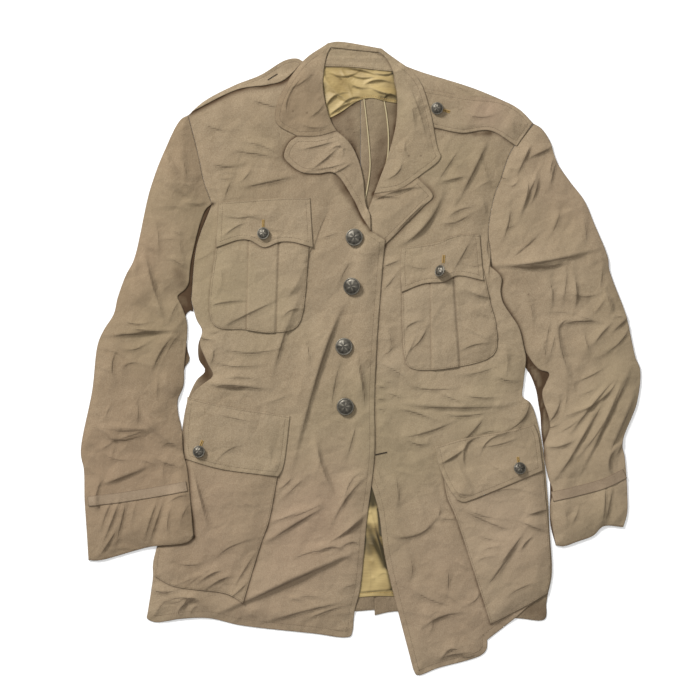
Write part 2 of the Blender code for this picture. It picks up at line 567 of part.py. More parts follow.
def tri_edges(tris):
    """The edges of some triangles, each once."""
    pairs = np.vstack([tris[:, [0, 1]], tris[:, [1, 2]], tris[:, [2, 0]]])
    return np.unique(np.sort(pairs, axis=1), axis=0)


def touched(loop, nodes, tris):
    """Triangles of the net that the inside of the loop reaches."""
    near = box_touch(nodes, tris, loop)
    points, cells = arrange([loop], nodes, tri_edges(tris[near]))
    centres = points[cells].mean(axis=1)
    held = cells[inside(centres, loop)]
    best, _ = bary(points[held].mean(axis=1), nodes, tris[near])
    return np.unique(near[best])


def shared(loop_a, loop_b, nodes, tris, common):
    """Triangles of the net in which two loops overlap."""
    points, cells = arrange([loop_a, loop_b], nodes, tri_edges(tris[common]))
    corner = points[cells]
    one, two = corner[:, 1] - corner[:, 0], corner[:, 2] - corner[:, 0]
    area = np.abs(one[:, 0] * two[:, 1] - one[:, 1] * two[:, 0]) / 2
    centres = corner.mean(axis=1)
    both = inside(centres, loop_a) & inside(centres, loop_b) & (area > 1e-3)
    if not both.any():
        return common[:0]
    best, weights = bary(centres[both], nodes, tris[common])
    real = weights.min(axis=1) > -1e-6
    return np.unique(common[best[real]])


def drape(height, pairs, nodes):
    """Raise a field until no edge of the net is steeper than the cloth may hang."""
    reach = np.linalg.norm(nodes[pairs[:, 0]] - nodes[pairs[:, 1]], axis=1) * DRAPE_SLOPE
    for _ in range(60):
        before = height.copy()
        np.maximum.at(height, pairs[:, 0], height[pairs[:, 1]] - reach)
        np.maximum.at(height, pairs[:, 1], height[pairs[:, 0]] - reach)
        if np.abs(height - before).max() < 1e-6:
            break
    return height


def bent_edges(height, cells, nodes):
    """Edges of the net across which the field is not one plane."""
    slopes = []
    for cell in cells:
        (xa, ya), (xb, yb), (xc, yc) = nodes[cell]
        za, zb, zc = height[cell]
        det = (xb - xa) * (yc - ya) - (xc - xa) * (yb - ya)
        gx = ((zb - za) * (yc - ya) - (zc - za) * (yb - ya)) / det
        gy = ((xb - xa) * (zc - za) - (xc - xa) * (zb - za)) / det
        slopes.append((gx, gy))
    sides = {}
    for index, cell in enumerate(cells):
        for i in range(3):
            pair = (int(cell[i]), int(cell[(i + 1) % 3]))
            sides.setdefault((min(pair), max(pair)), []).append(index)
    bent = []
    for pair, faces in sides.items():
        if len(faces) == 2:
            one, two = slopes[faces[0]], slopes[faces[1]]
            if abs(one[0] - two[0]) + abs(one[1] - two[1]) > 1e-5:
                bent.append(pair)
    return bent


def slab_mesh(name, loop, height, wall, nodes, tris, cells):
    """Closed slab between a field over the net and the same field raised by the wall."""
    points, faces = arrange([loop], nodes, bent_edges(height, tris[cells], nodes))
    faces = faces[inside(points[faces].mean(axis=1), loop)]
    used = np.unique(faces)
    renumber = {int(old): new for new, old in enumerate(used)}
    points = points[used]
    best, weights = bary(points, nodes, tris[cells])
    low = (height[tris[cells][best]] * weights).sum(axis=1)
    shift = np.array(ORIGIN_SHIFT)
    mesh = bmesh.new()
    under = [mesh.verts.new(Vector((*(p + shift), z)) * MM) for p, z in zip(points, low)]
    over = [mesh.verts.new(Vector((*(p + shift), z + wall)) * MM) for p, z in zip(points, low)]
    count = {}
    for face in faces:
        a, b, c = (renumber[int(i)] for i in face)
        turn = (points[b] - points[a], points[c] - points[a])
        if turn[0][0] * turn[1][1] - turn[0][1] * turn[1][0] < 0:
            b, c = c, b
        mesh.faces.new((over[a], over[b], over[c]))
        mesh.faces.new((under[a], under[c], under[b]))
        for pair in ((a, b), (b, c), (c, a)):
            count[pair] = count.get(pair, 0) + 1
    for (a, b) in count:
        if (b, a) not in count:
            mesh.faces.new((under[a], under[b], over[b]))
            mesh.faces.new((under[a], over[b], over[a]))
    return finish_mesh(name, mesh)


def finish_mesh(name, mesh):
    """Turn a bmesh into a named object in the scene."""
    data = bpy.data.meshes.new(name)
    mesh.to_mesh(data)
    mesh.free()
    data.shade_smooth()
    data.set_sharp_from_angle(angle=math.radians(38.0))
    item = bpy.data.objects.new(name, data)
    bpy.context.scene.collection.objects.link(item)
    return item


def dress(item, finish_name):
    """Give an object its own principled material."""
    finish = FINISHES[finish_name]
    material = bpy.data.materials.new("finish_" + item.name)
    material.use_nodes = True
    shader = next(n for n in material.node_tree.nodes if n.type == "BSDF_PRINCIPLED")
    shader.inputs["Base Color"].default_value = (finish.red, finish.green, finish.blue, 1.0)
    shader.inputs["Roughness"].default_value = finish.rough
    shader.inputs["Metallic"].default_value = finish.metal
    material.diffuse_color = (finish.red, finish.green, finish.blue, 1.0)
    item.data.materials.append(material)


def button_profile(radius):
    """Half section of a shank button, from the shank's foot to the middle of the dome."""
    rim = BUTTON_THICK * 0.45
    return (
        (0.0, 0.0),
        (SHANK_RADIUS, 0.0),
        (SHANK_RADIUS, SHANK_LENGTH),
        (radius * RIM_SHARE, SHANK_LENGTH),
        (radius, SHANK_LENGTH + rim),
        (radius * 0.95, SHANK_LENGTH + BUTTON_THICK * 0.85),
        (radius * 0.6, SHANK_LENGTH + BUTTON_THICK + BUTTON_DOME * 0.62),
        (0.0, SHANK_LENGTH + BUTTON_THICK + BUTTON_DOME),
    )


def turned_mesh(profile, sides):
    """Closed solid turned round +Z from a half section that starts and ends on the axis."""
    mesh = bmesh.new()
    foot = mesh.verts.new((0.0, 0.0, profile[0][1]))
    tip = mesh.verts.new((0.0, 0.0, profile[-1][1]))
    rings = []
    for radius, z in profile[1:-1]:
        ring = []
        for k in range(sides):
            angle = 2.0 * math.pi * k / sides
            ring.append(mesh.verts.new((radius * math.cos(angle), radius * math.sin(angle), z)))
        rings.append(ring)
    for k in range(sides):
        n = (k + 1) % sides
        mesh.faces.new((foot, rings[0][n], rings[0][k]))
        mesh.faces.new((tip, rings[-1][k], rings[-1][n]))
        for low, high in zip(rings, rings[1:]):
            mesh.faces.new((low[k], low[n], high[n]))
            mesh.faces.new((low[k], high[n], high[k]))
    return mesh


class Jacket:
    """Lays the pieces one on another over the shared net."""

    def __init__(self):
        self.loops = {piece.name: outline_loop(piece) for piece in PIECES}
        self.nodes, self.tris = make_net(list(self.loops.values()))
        self.pairs = tri_edges(self.tris)
        self.cells = {}
        self.tops = {}

    def own_height(self, piece):
        """Height a piece adds of its own: its soft rise and its folds."""
        loop = self.loops[piece.name]
        gap, _ = segment_distance(self.nodes, loop, np.roll(loop, -1, axis=0))
        depth = np.where(inside(self.nodes, loop), gap.min(axis=1), 0.0)
        fade = np.clip(depth / EDGE_FADE, 0.0, 1.0)
        wave = np.sin(self.nodes[:, 0] / 31.0 + self.nodes[:, 1] / 57.0)
        wave = 0.75 + 0.25 * wave * np.sin(self.nodes[:, 1] / 37.0 - self.nodes[:, 0] / 71.0)
        soft = piece.puff * fade * fade * (3 - 2 * fade) * wave
        return soft + fold_height(self.nodes, piece.name)

    def lay(self, piece):
        """Lay one piece on everything below it."""
        loop = self.loops[piece.name]
        cells = touched(loop, self.nodes, self.tris)
        support = np.zeros(len(self.nodes))
        for name, top in self.tops.items():
            common = np.intersect1d(cells, self.cells[name])
            if len(common) == 0:
                continue
            hit = shared(loop, self.loops[name], self.nodes, self.tris, common)
            nodes = np.unique(self.tris[hit])
            support[nodes] = np.maximum(support[nodes], top[nodes] + LAY_GAP)
        active = np.unique(self.tris[cells])
        height = np.full(len(self.nodes), -OUT_OF_PLAN)
        height[active] = support[active] + self.own_height(piece)[active]
        held = np.isin(self.pairs, active).all(axis=1)
        height = drape(height, self.pairs[held], self.nodes)
        self.cells[piece.name] = cells
        self.tops[piece.name] = height + piece.wall
        item = slab_mesh(piece.name, loop, height, piece.wall, self.nodes, self.tris, cells)
        dress(item, piece.finish)

    def top_at(self, points, sheets):
        """Highest top of the named sheets at the points, -OUT_OF_PLAN off them all."""
        best = np.full(len(points), -OUT_OF_PLAN)
        for name in sheets:
            cells = self.tris[self.cells[name]]
            held = inside(points, self.loops[name])
            if held.any():
                found, weights = bary(points[held], self.nodes, cells)
                height = (self.tops[name][cells[found]] * weights).sum(axis=1)
                best[held] = np.maximum(best[held], height)
        return best

    def set_button(self, row):
        """Stand a button on its sheet, square to the cloth and clear of all of it."""
        mesh = turned_mesh(button_profile(row.radius), BUTTON_SIDES)
        centre = np.array((row.x, row.y))
        step = 5.0
        probe = centre + step * np.array(((1, 0), (-1, 0), (0, 1), (0, -1), (0, 0)), float)
        tops = self.top_at(probe, (row.sheet,))
        tops = np.where(tops < 0, tops[4], tops)
        slope = Vector(((tops[1] - tops[0]) / 2 / step, (tops[3] - tops[2]) / 2 / step, 1.0))
        lean = math.radians(row.lean)
        turn = math.radians(row.turn)
        axis = slope.normalized() * math.cos(lean)
        axis += Vector((math.cos(turn), math.sin(turn), 0.0)) * math.sin(lean)
        matrix = axis.to_track_quat("Z", "Y").to_matrix().to_4x4()
        bmesh.ops.transform(mesh, matrix=matrix, verts=mesh.verts)
        bmesh.ops.translate(mesh, vec=(row.x, row.y, 0.0), verts=mesh.verts)
        sheets = list(self.tops)
        samples = []
        for face in mesh.faces:
            corner = [v.co for v in face.verts]
            samples.extend(corner)
            samples.append(sum(corner, Vector()) / len(corner))
        for radius in np.linspace(0.0, row.radius * RIM_SHARE, 6):
            ring = [2.0 * math.pi * k / 12 for k in range(12)]
            under = SHANK_LENGTH if radius > SHANK_RADIUS else 0.0
            for angle in ring:
                spot = Vector((radius * math.cos(angle), radius * math.sin(angle), under))
                samples.append(matrix @ spot + Vector((row.x, row.y, 0.0)))
        spots = np.array([tuple(s) for s in samples])
        tops = self.top_at(spots[:, :2], sheets)
        rise = float((tops - spots[:, 2]).max()) + LAY_GAP
        shift = Vector((ORIGIN_SHIFT[0], ORIGIN_SHIFT[1], rise))
        bmesh.ops.translate(mesh, vec=shift, verts=mesh.verts)
        bmesh.ops.transform(mesh, matrix=Matrix.Scale(MM, 4), verts=mesh.verts)
        dress(finish_mesh(row.name, mesh), "button")


def build():
    """Build the whole jacket."""
    clear_scene()
    jacket = Jacket()
    for piece in PIECES:
        jacket.lay(piece)
    for row in BUTTONS:
        jacket.set_button(row)


build()
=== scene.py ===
"""Dresses the laid officer's tunic: draped drill panels, satin linings, braid, buttons and thread.

Every panel is laid on one fine relief map from the table upwards, so each sheet follows what it
lies on. Plan sizes in the tables are in millimetres, and the meshes are made in metres.
"""

import logging
import math
from dataclasses import dataclass, field
from enum import Enum
from typing import Any, Iterable, Sequence

import bmesh
import bpy
import numpy as np
from mathutils import Matrix, Vector


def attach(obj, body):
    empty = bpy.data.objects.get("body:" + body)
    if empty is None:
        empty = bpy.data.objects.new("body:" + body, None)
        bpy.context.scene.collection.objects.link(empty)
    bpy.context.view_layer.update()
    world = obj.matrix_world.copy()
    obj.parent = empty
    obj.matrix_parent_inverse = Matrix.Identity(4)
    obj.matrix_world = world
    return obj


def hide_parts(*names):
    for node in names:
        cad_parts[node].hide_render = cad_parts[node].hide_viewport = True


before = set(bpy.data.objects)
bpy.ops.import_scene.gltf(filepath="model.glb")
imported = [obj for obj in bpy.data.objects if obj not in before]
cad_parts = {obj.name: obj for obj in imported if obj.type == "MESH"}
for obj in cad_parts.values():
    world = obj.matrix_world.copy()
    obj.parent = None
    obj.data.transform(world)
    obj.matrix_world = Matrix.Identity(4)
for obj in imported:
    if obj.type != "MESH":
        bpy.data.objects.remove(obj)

LOG = logging.getLogger("tunic")
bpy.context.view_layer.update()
MM = 0.001
SHIFT = (-0.16, 0.11)
BODY = "root"

# Steps along a line and a finer one for distances, the least gap between two points of a loop,
# half the gap of a seam, the gap between two layers and the width of a sheet's rim, in mm.
LINE_STEP, FINE_STEP, CLOSE_POINTS = 1.5, 0.5, 0.3
HALF_SEAM, GAP, RIM_WIDTH = 0.1, 0.15, 0.55

# The light comes from up and to the left: a fold is wide on its lit side and steep on the other.
LIGHT_FROM = (-0.62, 0.78)
WIND_SHARE, LEE_SHARE = 2.6, 0.42
FOLD_GAIN, CREASE_GAIN = 0.5, 1.05
# From this height, in mm, folds merge by the higher one; smaller ones add up.
LARGE_FOLD = 2.5
# The width of the painted shade line at a fold's steep foot, in mm.
LINE_WIDTH = 2.3

# A stitched row: its ditch, its puckers and its stitches, in mm.
DITCH_DEPTH, DITCH_WIDTH = 0.14, 1.0
PUCKER_RISE, PUCKER_WIDTH = 0.16, 5.0
STITCH_PACE, STITCH_SIZE, STITCH_SINK = 2.7, (2.0, 0.45, 0.3), 0.02

# Crumpling: each layer's share, seed, length, turn from the drag and stretch. It fades in from
# the edge over CRUMPLE_REACH mm, and a panel's soft rise over PUFF_REACH mm.
CRINKLES = ((1.5, 7, 62.0, 0.0, 2.2), (0.9, 9, 27.0, 35.0, 2.0), (0.45, 11, 12.0, -20.0, 1.8))
CRUMPLE_REACH, PUFF_REACH = 12.0, 24.0
# How far a sheet's rim is rounded down at its face and up at its underside, as shares of its wall.
RIM_DROP, RIM_LIFT = 0.3, 0.12
# The cloth's own length in its folds, as a factor on the plan's sides and on its area.
SLACK_SIDE, SLACK_AREA = 1.01, 1.02
# The painted shade line beside a pleat's edge: its strength, how far out it runs and its width, in mm.
PLEAT_SHADE, PLEAT_OUT, PLEAT_LINE = 0.35, 0.6, 1.3

Table = tuple[tuple[float, ...], ...]


class Cloth(Enum):
    """The cloths and metals that the tunic is made of, by their slot in the record."""

    DRILL = "drill"
    # The insides' finish is the drill painted darker, as painted shade for cloth that lies deep under the
    # collar and the fronts.
    INSIDE = "drill_inside"
    SATIN = "satin"
    TAPE = "tape"
    BRAID = "braid"
    METAL = "button_metal"


class Hold(Enum):
    """How a sheet of cloth is held."""

    LAID = "laid"
    FOLDED = "folded"


@dataclass(frozen=True)
class Fold:
    """One fold or crease: its crest's start, middle and end, its width and its height."""

    x0: float
    y0: float
    xm: float
    ym: float
    x1: float
    y1: float
    width: float
    height: float


# Seam and edge lines of the laid tunic: (x, y) in mm, a smooth curve runs through each row.
LINES: dict[str, Table] = {
    "shoulder_right": (
        (-72, 383), (-99, 368), (-134, 359), (-157, 353.5), (-181, 343), (-203, 334), (-225, 317),
    ),
    "armhole_right": ((-225, 317), (-211, 261), (-205, 232), (-194, 201)),
    "side_right_arm": ((-194, 201), (-214, 146), (-221, 76)),
    "front_side_right": (
        (-221, 76), (-214, 50), (-206.5, 36), (-209, 26), (-209.5, 17), (-199.5, -7), (-193, -22),
        (-205, -33), (-216, -42), (-223, -53), (-229, -70), (-232, -86), (-238, -158), (-266, -246),
        (-271, -268), (-271, -285), (-278, -332),
    ),
    "side_right": (
        (-221, 76), (-214, 50), (-207, 36), (-212, 18), (-211, -2), (-203, -16), (-214, -28),
        (-224, -48.7), (-229, -67), (-232, -86), (-238, -158), (-266, -246), (-271, -268), (-271, -285),
        (-278, -332),
    ),
    "hem_right": (
        (-278, -332), (-279, -339), (-268, -344), (-252, -342.5), (-238, -340), (-199, -338.7),
        (-157, -348), (-60, -359), (-21, -364), (-13, -362), (-10, -353),
    ),
    "edge_right": (
        (-10, -353), (-8, -330), (-1, -301), (8, -210), (18, -125), (18, -54), (21, 18), (29, 125),
        (32, 154),
    ),
    "top_right": ((32, 154), (13, 166)),
    "roll_right": ((13, 166), (12, 187), (7, 199), (3, 235), (-4, 261), (-14, 280), (-31, 296)),
    "neck_right": ((-31, 296), (-42, 314), (-53, 362), (-72, 383)),
    "gorge_right": ((-31, 296), (-56, 289), (-83, 289)),
    "lapel_edge_right": (
        (-83, 289), (-94, 280), (-100, 263), (-95, 255), (-77, 242), (-56, 240), (-35, 241), (-9, 206),
        (1, 185), (13, 166),
    ),
    "collar_edge_right": ((-83, 289), (-110, 306), (-109, 331), (-76, 387), (-43, 411)),
    "collar_top": ((-43, 411), (-30, 413), (27, 404)),
    "collar_edge_left": ((27, 404), (74, 365), (90, 323), (100, 274), (104, 261), (74, 235)),
    "gorge_left": ((74, 235), (51, 220), (17, 214)),
    "collar_roll_left": ((17, 214), (36, 266), (47, 317), (43, 367), (35, 388), (25, 398)),
    "collar_back_roll": ((25, 398), (-39, 405)),
    "collar_roll_right": ((-39, 405), (-44, 395), (-49, 352), (-39, 310), (-31, 296)),
    "shoulder_left": ((53, 383), (77, 374), (155, 349), (207, 324), (225, 306)),
    "armhole_left": ((225, 306), (196, 270), (182, 232), (174, 211), (166, 162), (169, 141), (169, 120)),
    "side_left": (
        (169, 120), (183, 104.5), (182, 88), (185, 73.5), (196.5, 55), (206, 40), (212, 16), (215, 2),
        (214.5, -10), (212, -33), (211, -50), (221, -58), (234, -99), (244, -184), (246, -223),
        (249, -281), (244, -307),
    ),
    "hem_left": ((244, -307), (220, -322), (203, -337), (165, -367)),
    "hem_front_left": ((165, -367), (164, -379), (157, -387), (100, -404), (73, -413), (68, -405)),
    "edge_left": ((68, -405), (32, -262), (21, -190), (4, -138), (-6, -93), (-14, 24), (-4, 138)),
    "roll_left": ((-4, 138), (0, 164), (17, 214)),
    "neck_left": ((17, 214), (43, 289), (47, 343), (43, 367), (53, 383)),
    "lapel_edge_left": ((74, 235), (94, 211), (82, 198), (61, 177), (14, 136), (-4, 138)),
    "strap_right": (
        (-222, 320), (-203, 336), (-165, 356), (-131, 369.5), (-98, 389), (-83, 391), (-75, 387),
    ),
    "strap_right_lower": ((-75, 387), (-100, 362), (-121, 356), (-160, 350), (-222, 320)),
    "strap_left_upper": ((77, 352), (142, 341), (181, 337), (207, 324), (224, 306)),
    "strap_left_end": ((224, 306), (203, 276)),
    "strap_left_lower": ((203, 276), (168, 296), (131, 293), (95, 300)),
    "strap_left_tip": ((95, 300), (82, 307), (74, 328), (77, 352)),
    "sleeve_outer_right": (
        (-225, 317), (-235, 311), (-256, 270), (-275, 219), (-296, 128), (-306, 109), (-317, 79),
        (-322, 58), (-335, 37), (-343, 18), (-350, -41), (-365, -122), (-361, -145), (-360, -184),
        (-357, -229), (-355, -263),
    ),
    "cuff_right": ((-355, -263), (-342, -263.5), (-274, -245.5), (-225, -239), (-217, -232)),
    "sleeve_inner_right": (
        (-217, -232), (-226, -142), (-231, -122), (-233, -93), (-238, -70), (-238, -54), (-231, -36),
        (-230, -12), (-226, 44), (-230, 60), (-234, 70), (-238.6, 80.6), (-229.5, 89), (-224.5, 97),
        (-222.8, 112.5), (-221.3, 125.5), (-217, 146), (-209, 177), (-202, 194), (-194, 201),
    ),
    "under_inner_right": (
        (-217, -232), (-225, -203), (-230, -142), (-235, -122), (-237, -93), (-240, -51), (-234, -36),
        (-229, -12), (-223, -2), (-226, 11), (-228, 40), (-228, 56), (-222.5, 62), (-218.5, 61),
        (-221, 76),
    ),
    "sleeve_outer_left": (
        (225, 306), (235, 300), (246, 284), (256, 255), (272, 231), (291, 206), (304, 176), (322, 131),
        (324, 115), (346, 55), (354, 18), (358, 1), (364, -15), (360, -57), (341, -110), (344, -129),
        (347, -171), (347, -202), (342, -220),
    ),
    "cuff_left": ((342, -220), (316, -219), (303, -231), (282, -239), (264, -245), (254, -244)),
    "sleeve_inner_left": (
        (254, -244), (246, -194), (250, -174), (244, -155), (238, -116), (246, -88), (236, -45),
        (241, -32), (245, -19.5), (233, -15), (225, -7), (219.5, 1), (213, 11), (208, 24), (200, 40),
        (190, 52), (177, 76), (177, 97), (171, 106), (169, 120),
    ),
    "under_inner_left": (
        (254, -244), (247, -216), (246, -158), (241, -135), (235, -93), (234, -75), (231.5, -60),
        (228.5, -42), (221, -22), (212, -8), (203, 12), (198, 32), (184, 56), (174, 80), (174, 97),
        (169, 120),
    ),
    "back_shoulder_right": (
        (0, 391), (-43, 391), (-72, 383), (-98, 369), (-129, 356), (-157, 349), (-203, 331), (-225, 317),
    ),
    "back_hem_right": ((-278, -332), (-259, -339), (-199, -335), (-79, -335), (18, -328)),
    "back_shoulder_left": ((0, 391), (30, 391), (77, 372), (168, 341), (204, 323), (225, 306)),
    "back_hem_left": (
        (244, -307), (242, -320), (240, -340), (203, -339), (116, -337), (46, -330), (18, -335),
    ),
    "bpr_flap_top": ((-186, 203), (-99, 209), (-66, 209)),
    "bpr_flap_front": ((-66, 209), (-62, 144)),
    "bpr_flap_scallop": (
        (-62, 144), (-90, 151), (-105, 151), (-126, 144), (-144, 153), (-157, 154), (-188, 144),
    ),
    "bpr_flap_side": ((-188, 144), (-186, 203)),
    "bpr_bag": ((-188, 159), (-192, 44), (-151, 37), (-118, 33), (-87, 38), (-78, 49), (-66, 159)),
    "bpl_flap_top": ((52, 144), (99, 151), (118, 159), (135, 162), (155, 161)),
    "bpl_flap_side": ((155, 161), (160, 101)),
    "bpl_flap_scallop": ((160, 101), (125, 107), (107, 99), (83, 97), (53, 86)),
    "bpl_flap_front": ((53, 86), (51, 115), (52, 144)),
    "bpl_bag": (
        (53, 105), (56, 5), (61, -10), (72, -15), (109, -14), (165, -1), (176, 10), (176, 44), (168, 76),
        (160, 115),
    ),
    "spr_flap_top": ((-226, -50), (-190, -59), (-92, -75)),
    "spr_flap_front": ((-92, -75), (-101, -142), (-107, -154)),
    "spr_flap_lower": ((-107, -154), (-183, -144), (-229, -131)),
    "spr_flap_side": ((-229, -131), (-231, -106), (-226, -50)),
    "spr_bag_front": ((-105, -135), (-120, -214), (-129, -239), (-153, -318)),
    "spr_bag_lower": ((-153, -318), (-174, -307), (-246, -296), (-268, -284)),
    "spr_bag_side": ((-268, -284), (-264, -246), (-237, -164), (-230, -125)),
    "spl_flap_top": ((96, -115), (139, -103), (196, -93), (225, -85)),
    "spl_flap_side": ((225, -85), (231, -99), (237, -146)),
    "spl_flap_lower": ((237, -146), (144, -184), (133, -187), (125, -184)),
    "spl_flap_front": ((125, -184), (116, -172), (103, -145), (96, -115)),
    "spl_bag_front": ((107, -150), (112, -180), (122, -203), (169, -346)),
    "spl_bag_lower": ((169, -346), (220, -320), (243, -306)),
    "spl_bag_side": ((243, -306), (247, -281), (237, -135)),
    "yoke_top": ((-58, 385), (-4, 383), (53, 380)),
    "yoke_left": ((53, 380), (56, 331)),
    "yoke_edge": ((56, 331), (31, 335), (14, 339), (-4, 335), (-27, 320), (-42, 313), (-57, 315)),
    "yoke_right": ((-57, 315), (-58, 385)),
    "stand_top": ((-47, 404), (-6, 407), (33, 395)),
    "stand_left": ((33, 395), (51, 372)),
    "stand_edge": ((51, 372), (12, 376), (-14, 379), (-53, 380)),
    "stand_right": ((-53, 380), (-47, 404)),
    "slit_top": ((-25, -155), (14, -150), (46, -158)),
    "slit_left": ((46, -158), (66, -311)),
    "slit_hem": ((66, -311), (18, -310), (-25, -314)),
    "slit_right": ((-25, -314), (-25, -155)),
    "back_centre": ((18, -328), (1, 76), (0, 391)),
    "back_centre_left": ((18, -335), (1, 76), (0, 391)),
    "bpr_bag_top": ((-66, 159), (-188, 159)),
    "bpl_bag_top": ((160, 115), (53, 105)),
    "spr_bag_top": ((-230, -125), (-105, -135)),
    "spl_bag_top": ((237, -135), (107, -150)),
}

# Strips of even width: their centre lines.
STRIPS: dict[str, Table] = {
    "seam_tape_right": ((4, 338), (7, 313), (10, 284), (12, 251), (9, 225), (4, 200)),
    "seam_tape_left": ((30, 338), (34, 313), (36, 284), (34, 258), (25, 230), (14, 200)),
    "cuff_braid_right": ((-355, -186), (-313, -181), (-268, -174), (-226, -166)),
    "cuff_braid_left": ((344, -150), (316, -163), (284, -172), (249, -180)),
}

# The largest folds, which the solids share, by sheet: a row holds a Fold's values.
MAIN_FOLDS: dict[str, Table] = {
    "front_right": (
        (-20, 72, -53, -7, -92, -155, 13, 10), (-60, -106, -48, -151, -29, -188, 11, 6),
        (-73, 125, -84, 96, -99, 76, 11, 4), (-75, 89, -98, 37, -118, -34, 12, 6),
        (-203, -32, -164, -34.5, -112, -41, 12.5, 7), (-194, -336, -92, -288, 1, -248, 15.5, 12),
        (-129, -242, -83, -213, -40, -188, 12, 6), (-36, -236, -14, -220, 6, -202, 10, 5),
        (10, -150, -21, -184, -40, -223, 11, 6), (-129, -345, -73, -328, -14, -315, 10, 6),
        (-155, 326, -129, 304, -103, 281, 14, 6), (-157, 223, -125, 229, -78, 240, 12.5, 5),
        (-169, 271, -138, 267, -108, 262, 11, 4), (-12, 11, 0, -28, 4, -70, 9.5, 4),
        (-255, -317, -225, -311, -196, -330, 11, 5),
    ),
    "front_left": (
        (109, 222, 84, 174, 44, 144, 12.5, 8), (165, 284, 148, 248, 122, 197, 13, 7),
        (103, 177, 122, 177, 144, 190, 10, 4), (25, -6, 53, -20, 74, -42, 11.5, 6),
        (21, -72, 35, -93, 53, -122, 12, 7), (51, -57, 118, -63, 207, -60, 14, 9),
        (51, -102, 90, -94, 129, -77, 11, 5), (159, -77, 147, -93, 133, -106, 10, 4),
        (66, -124, 82, -151, 104, -193, 12, 5), (94, -216, 120, -242, 138, -275, 12.5, 6),
        (35, -229, 77, -227, 105, -194, 12, 5), (57, -288, 87, -311, 131, -324, 12, 5),
        (77, -353, 105, -335, 142, -330, 11, 5), (99, -392, 122, -385, 152, -383, 9, 4),
        (214, -44, 212, -77, 170, -102, 11, 5),
    ),
    "skirt_pocket_left": (
        (122, -190, 161, -210, 207, -227, 11, 4), (181, -265, 194, -249, 213, -223, 11, 5),
    ),
    "skirt_pocket_right": ((-218, -145, -207, -184, -194, -229, 11, 4),),
    "sleeve_right_top": (
        (-254, 268, -246, 245, -222, 211, 12, 7), (-281, 135, -272, 96, -255, 44, 13, 6),
        (-329, 29, -294, 33, -234, 36, 13, 8), (-246, 29, -261, 8, -272, -16, 11, 6),
        (-281, -70, -264, -95, -235, -117, 12, 7), (-339, -90, -303, -93, -268, -89, 12, 5),
        (-335, -163, -311, -154, -278, -141, 12, 7), (-324, -184, -332, -203, -339, -223, 10, 4),
        (-264, -181, -274, -210, -283, -239, 10, 5), (-261, -19, -248, -36, -235, -53, 10, 5),
    ),
    "sleeve_left_top": (
        (170, 120, 239, 127, 316, 145, 15, 11), (233, 164, 212, 144, 190, 128, 12, 6),
        (222, 278, 212, 258, 202, 237, 10, 5), (254, 258, 250, 242, 246, 224, 9, 5),
        (230, 242, 217, 213, 208, 188, 12, 6), (255, 55, 261, 5, 282, -47, 13, 7),
        (259, 44, 285, 49, 313, 47, 11, 6), (337, -18, 300, -60, 266, -106, 13, 8),
        (352, -10, 326, -67, 282, -155, 12.5, 7), (358, -44, 339, -86, 317, -135, 12, 8),
        (244, -115, 259, -114, 277, -106, 10, 6), (337, -114, 322, -135, 333, -167, 11, 8),
        (328, -164, 322, -194, 317, -215, 10, 5), (274, 109, 280, 86, 277, 63, 11, 4),
        (317, 89, 322, 72, 329, 55, 11, 4),
    ),
    "lapel_right": ((-12, 198, -26, 222, -51, 235, 10, 3),),
    "lapel_left": ((25, 210, 51, 219, 77, 223, 9.5, 6), (87, 206, 64, 184, 40, 159, 8, 3)),
    "collar": ((-95, 313, -95, 339, -72, 372, 12, 3), (87, 271, 74, 323, 56, 365, 12, 4)),
}

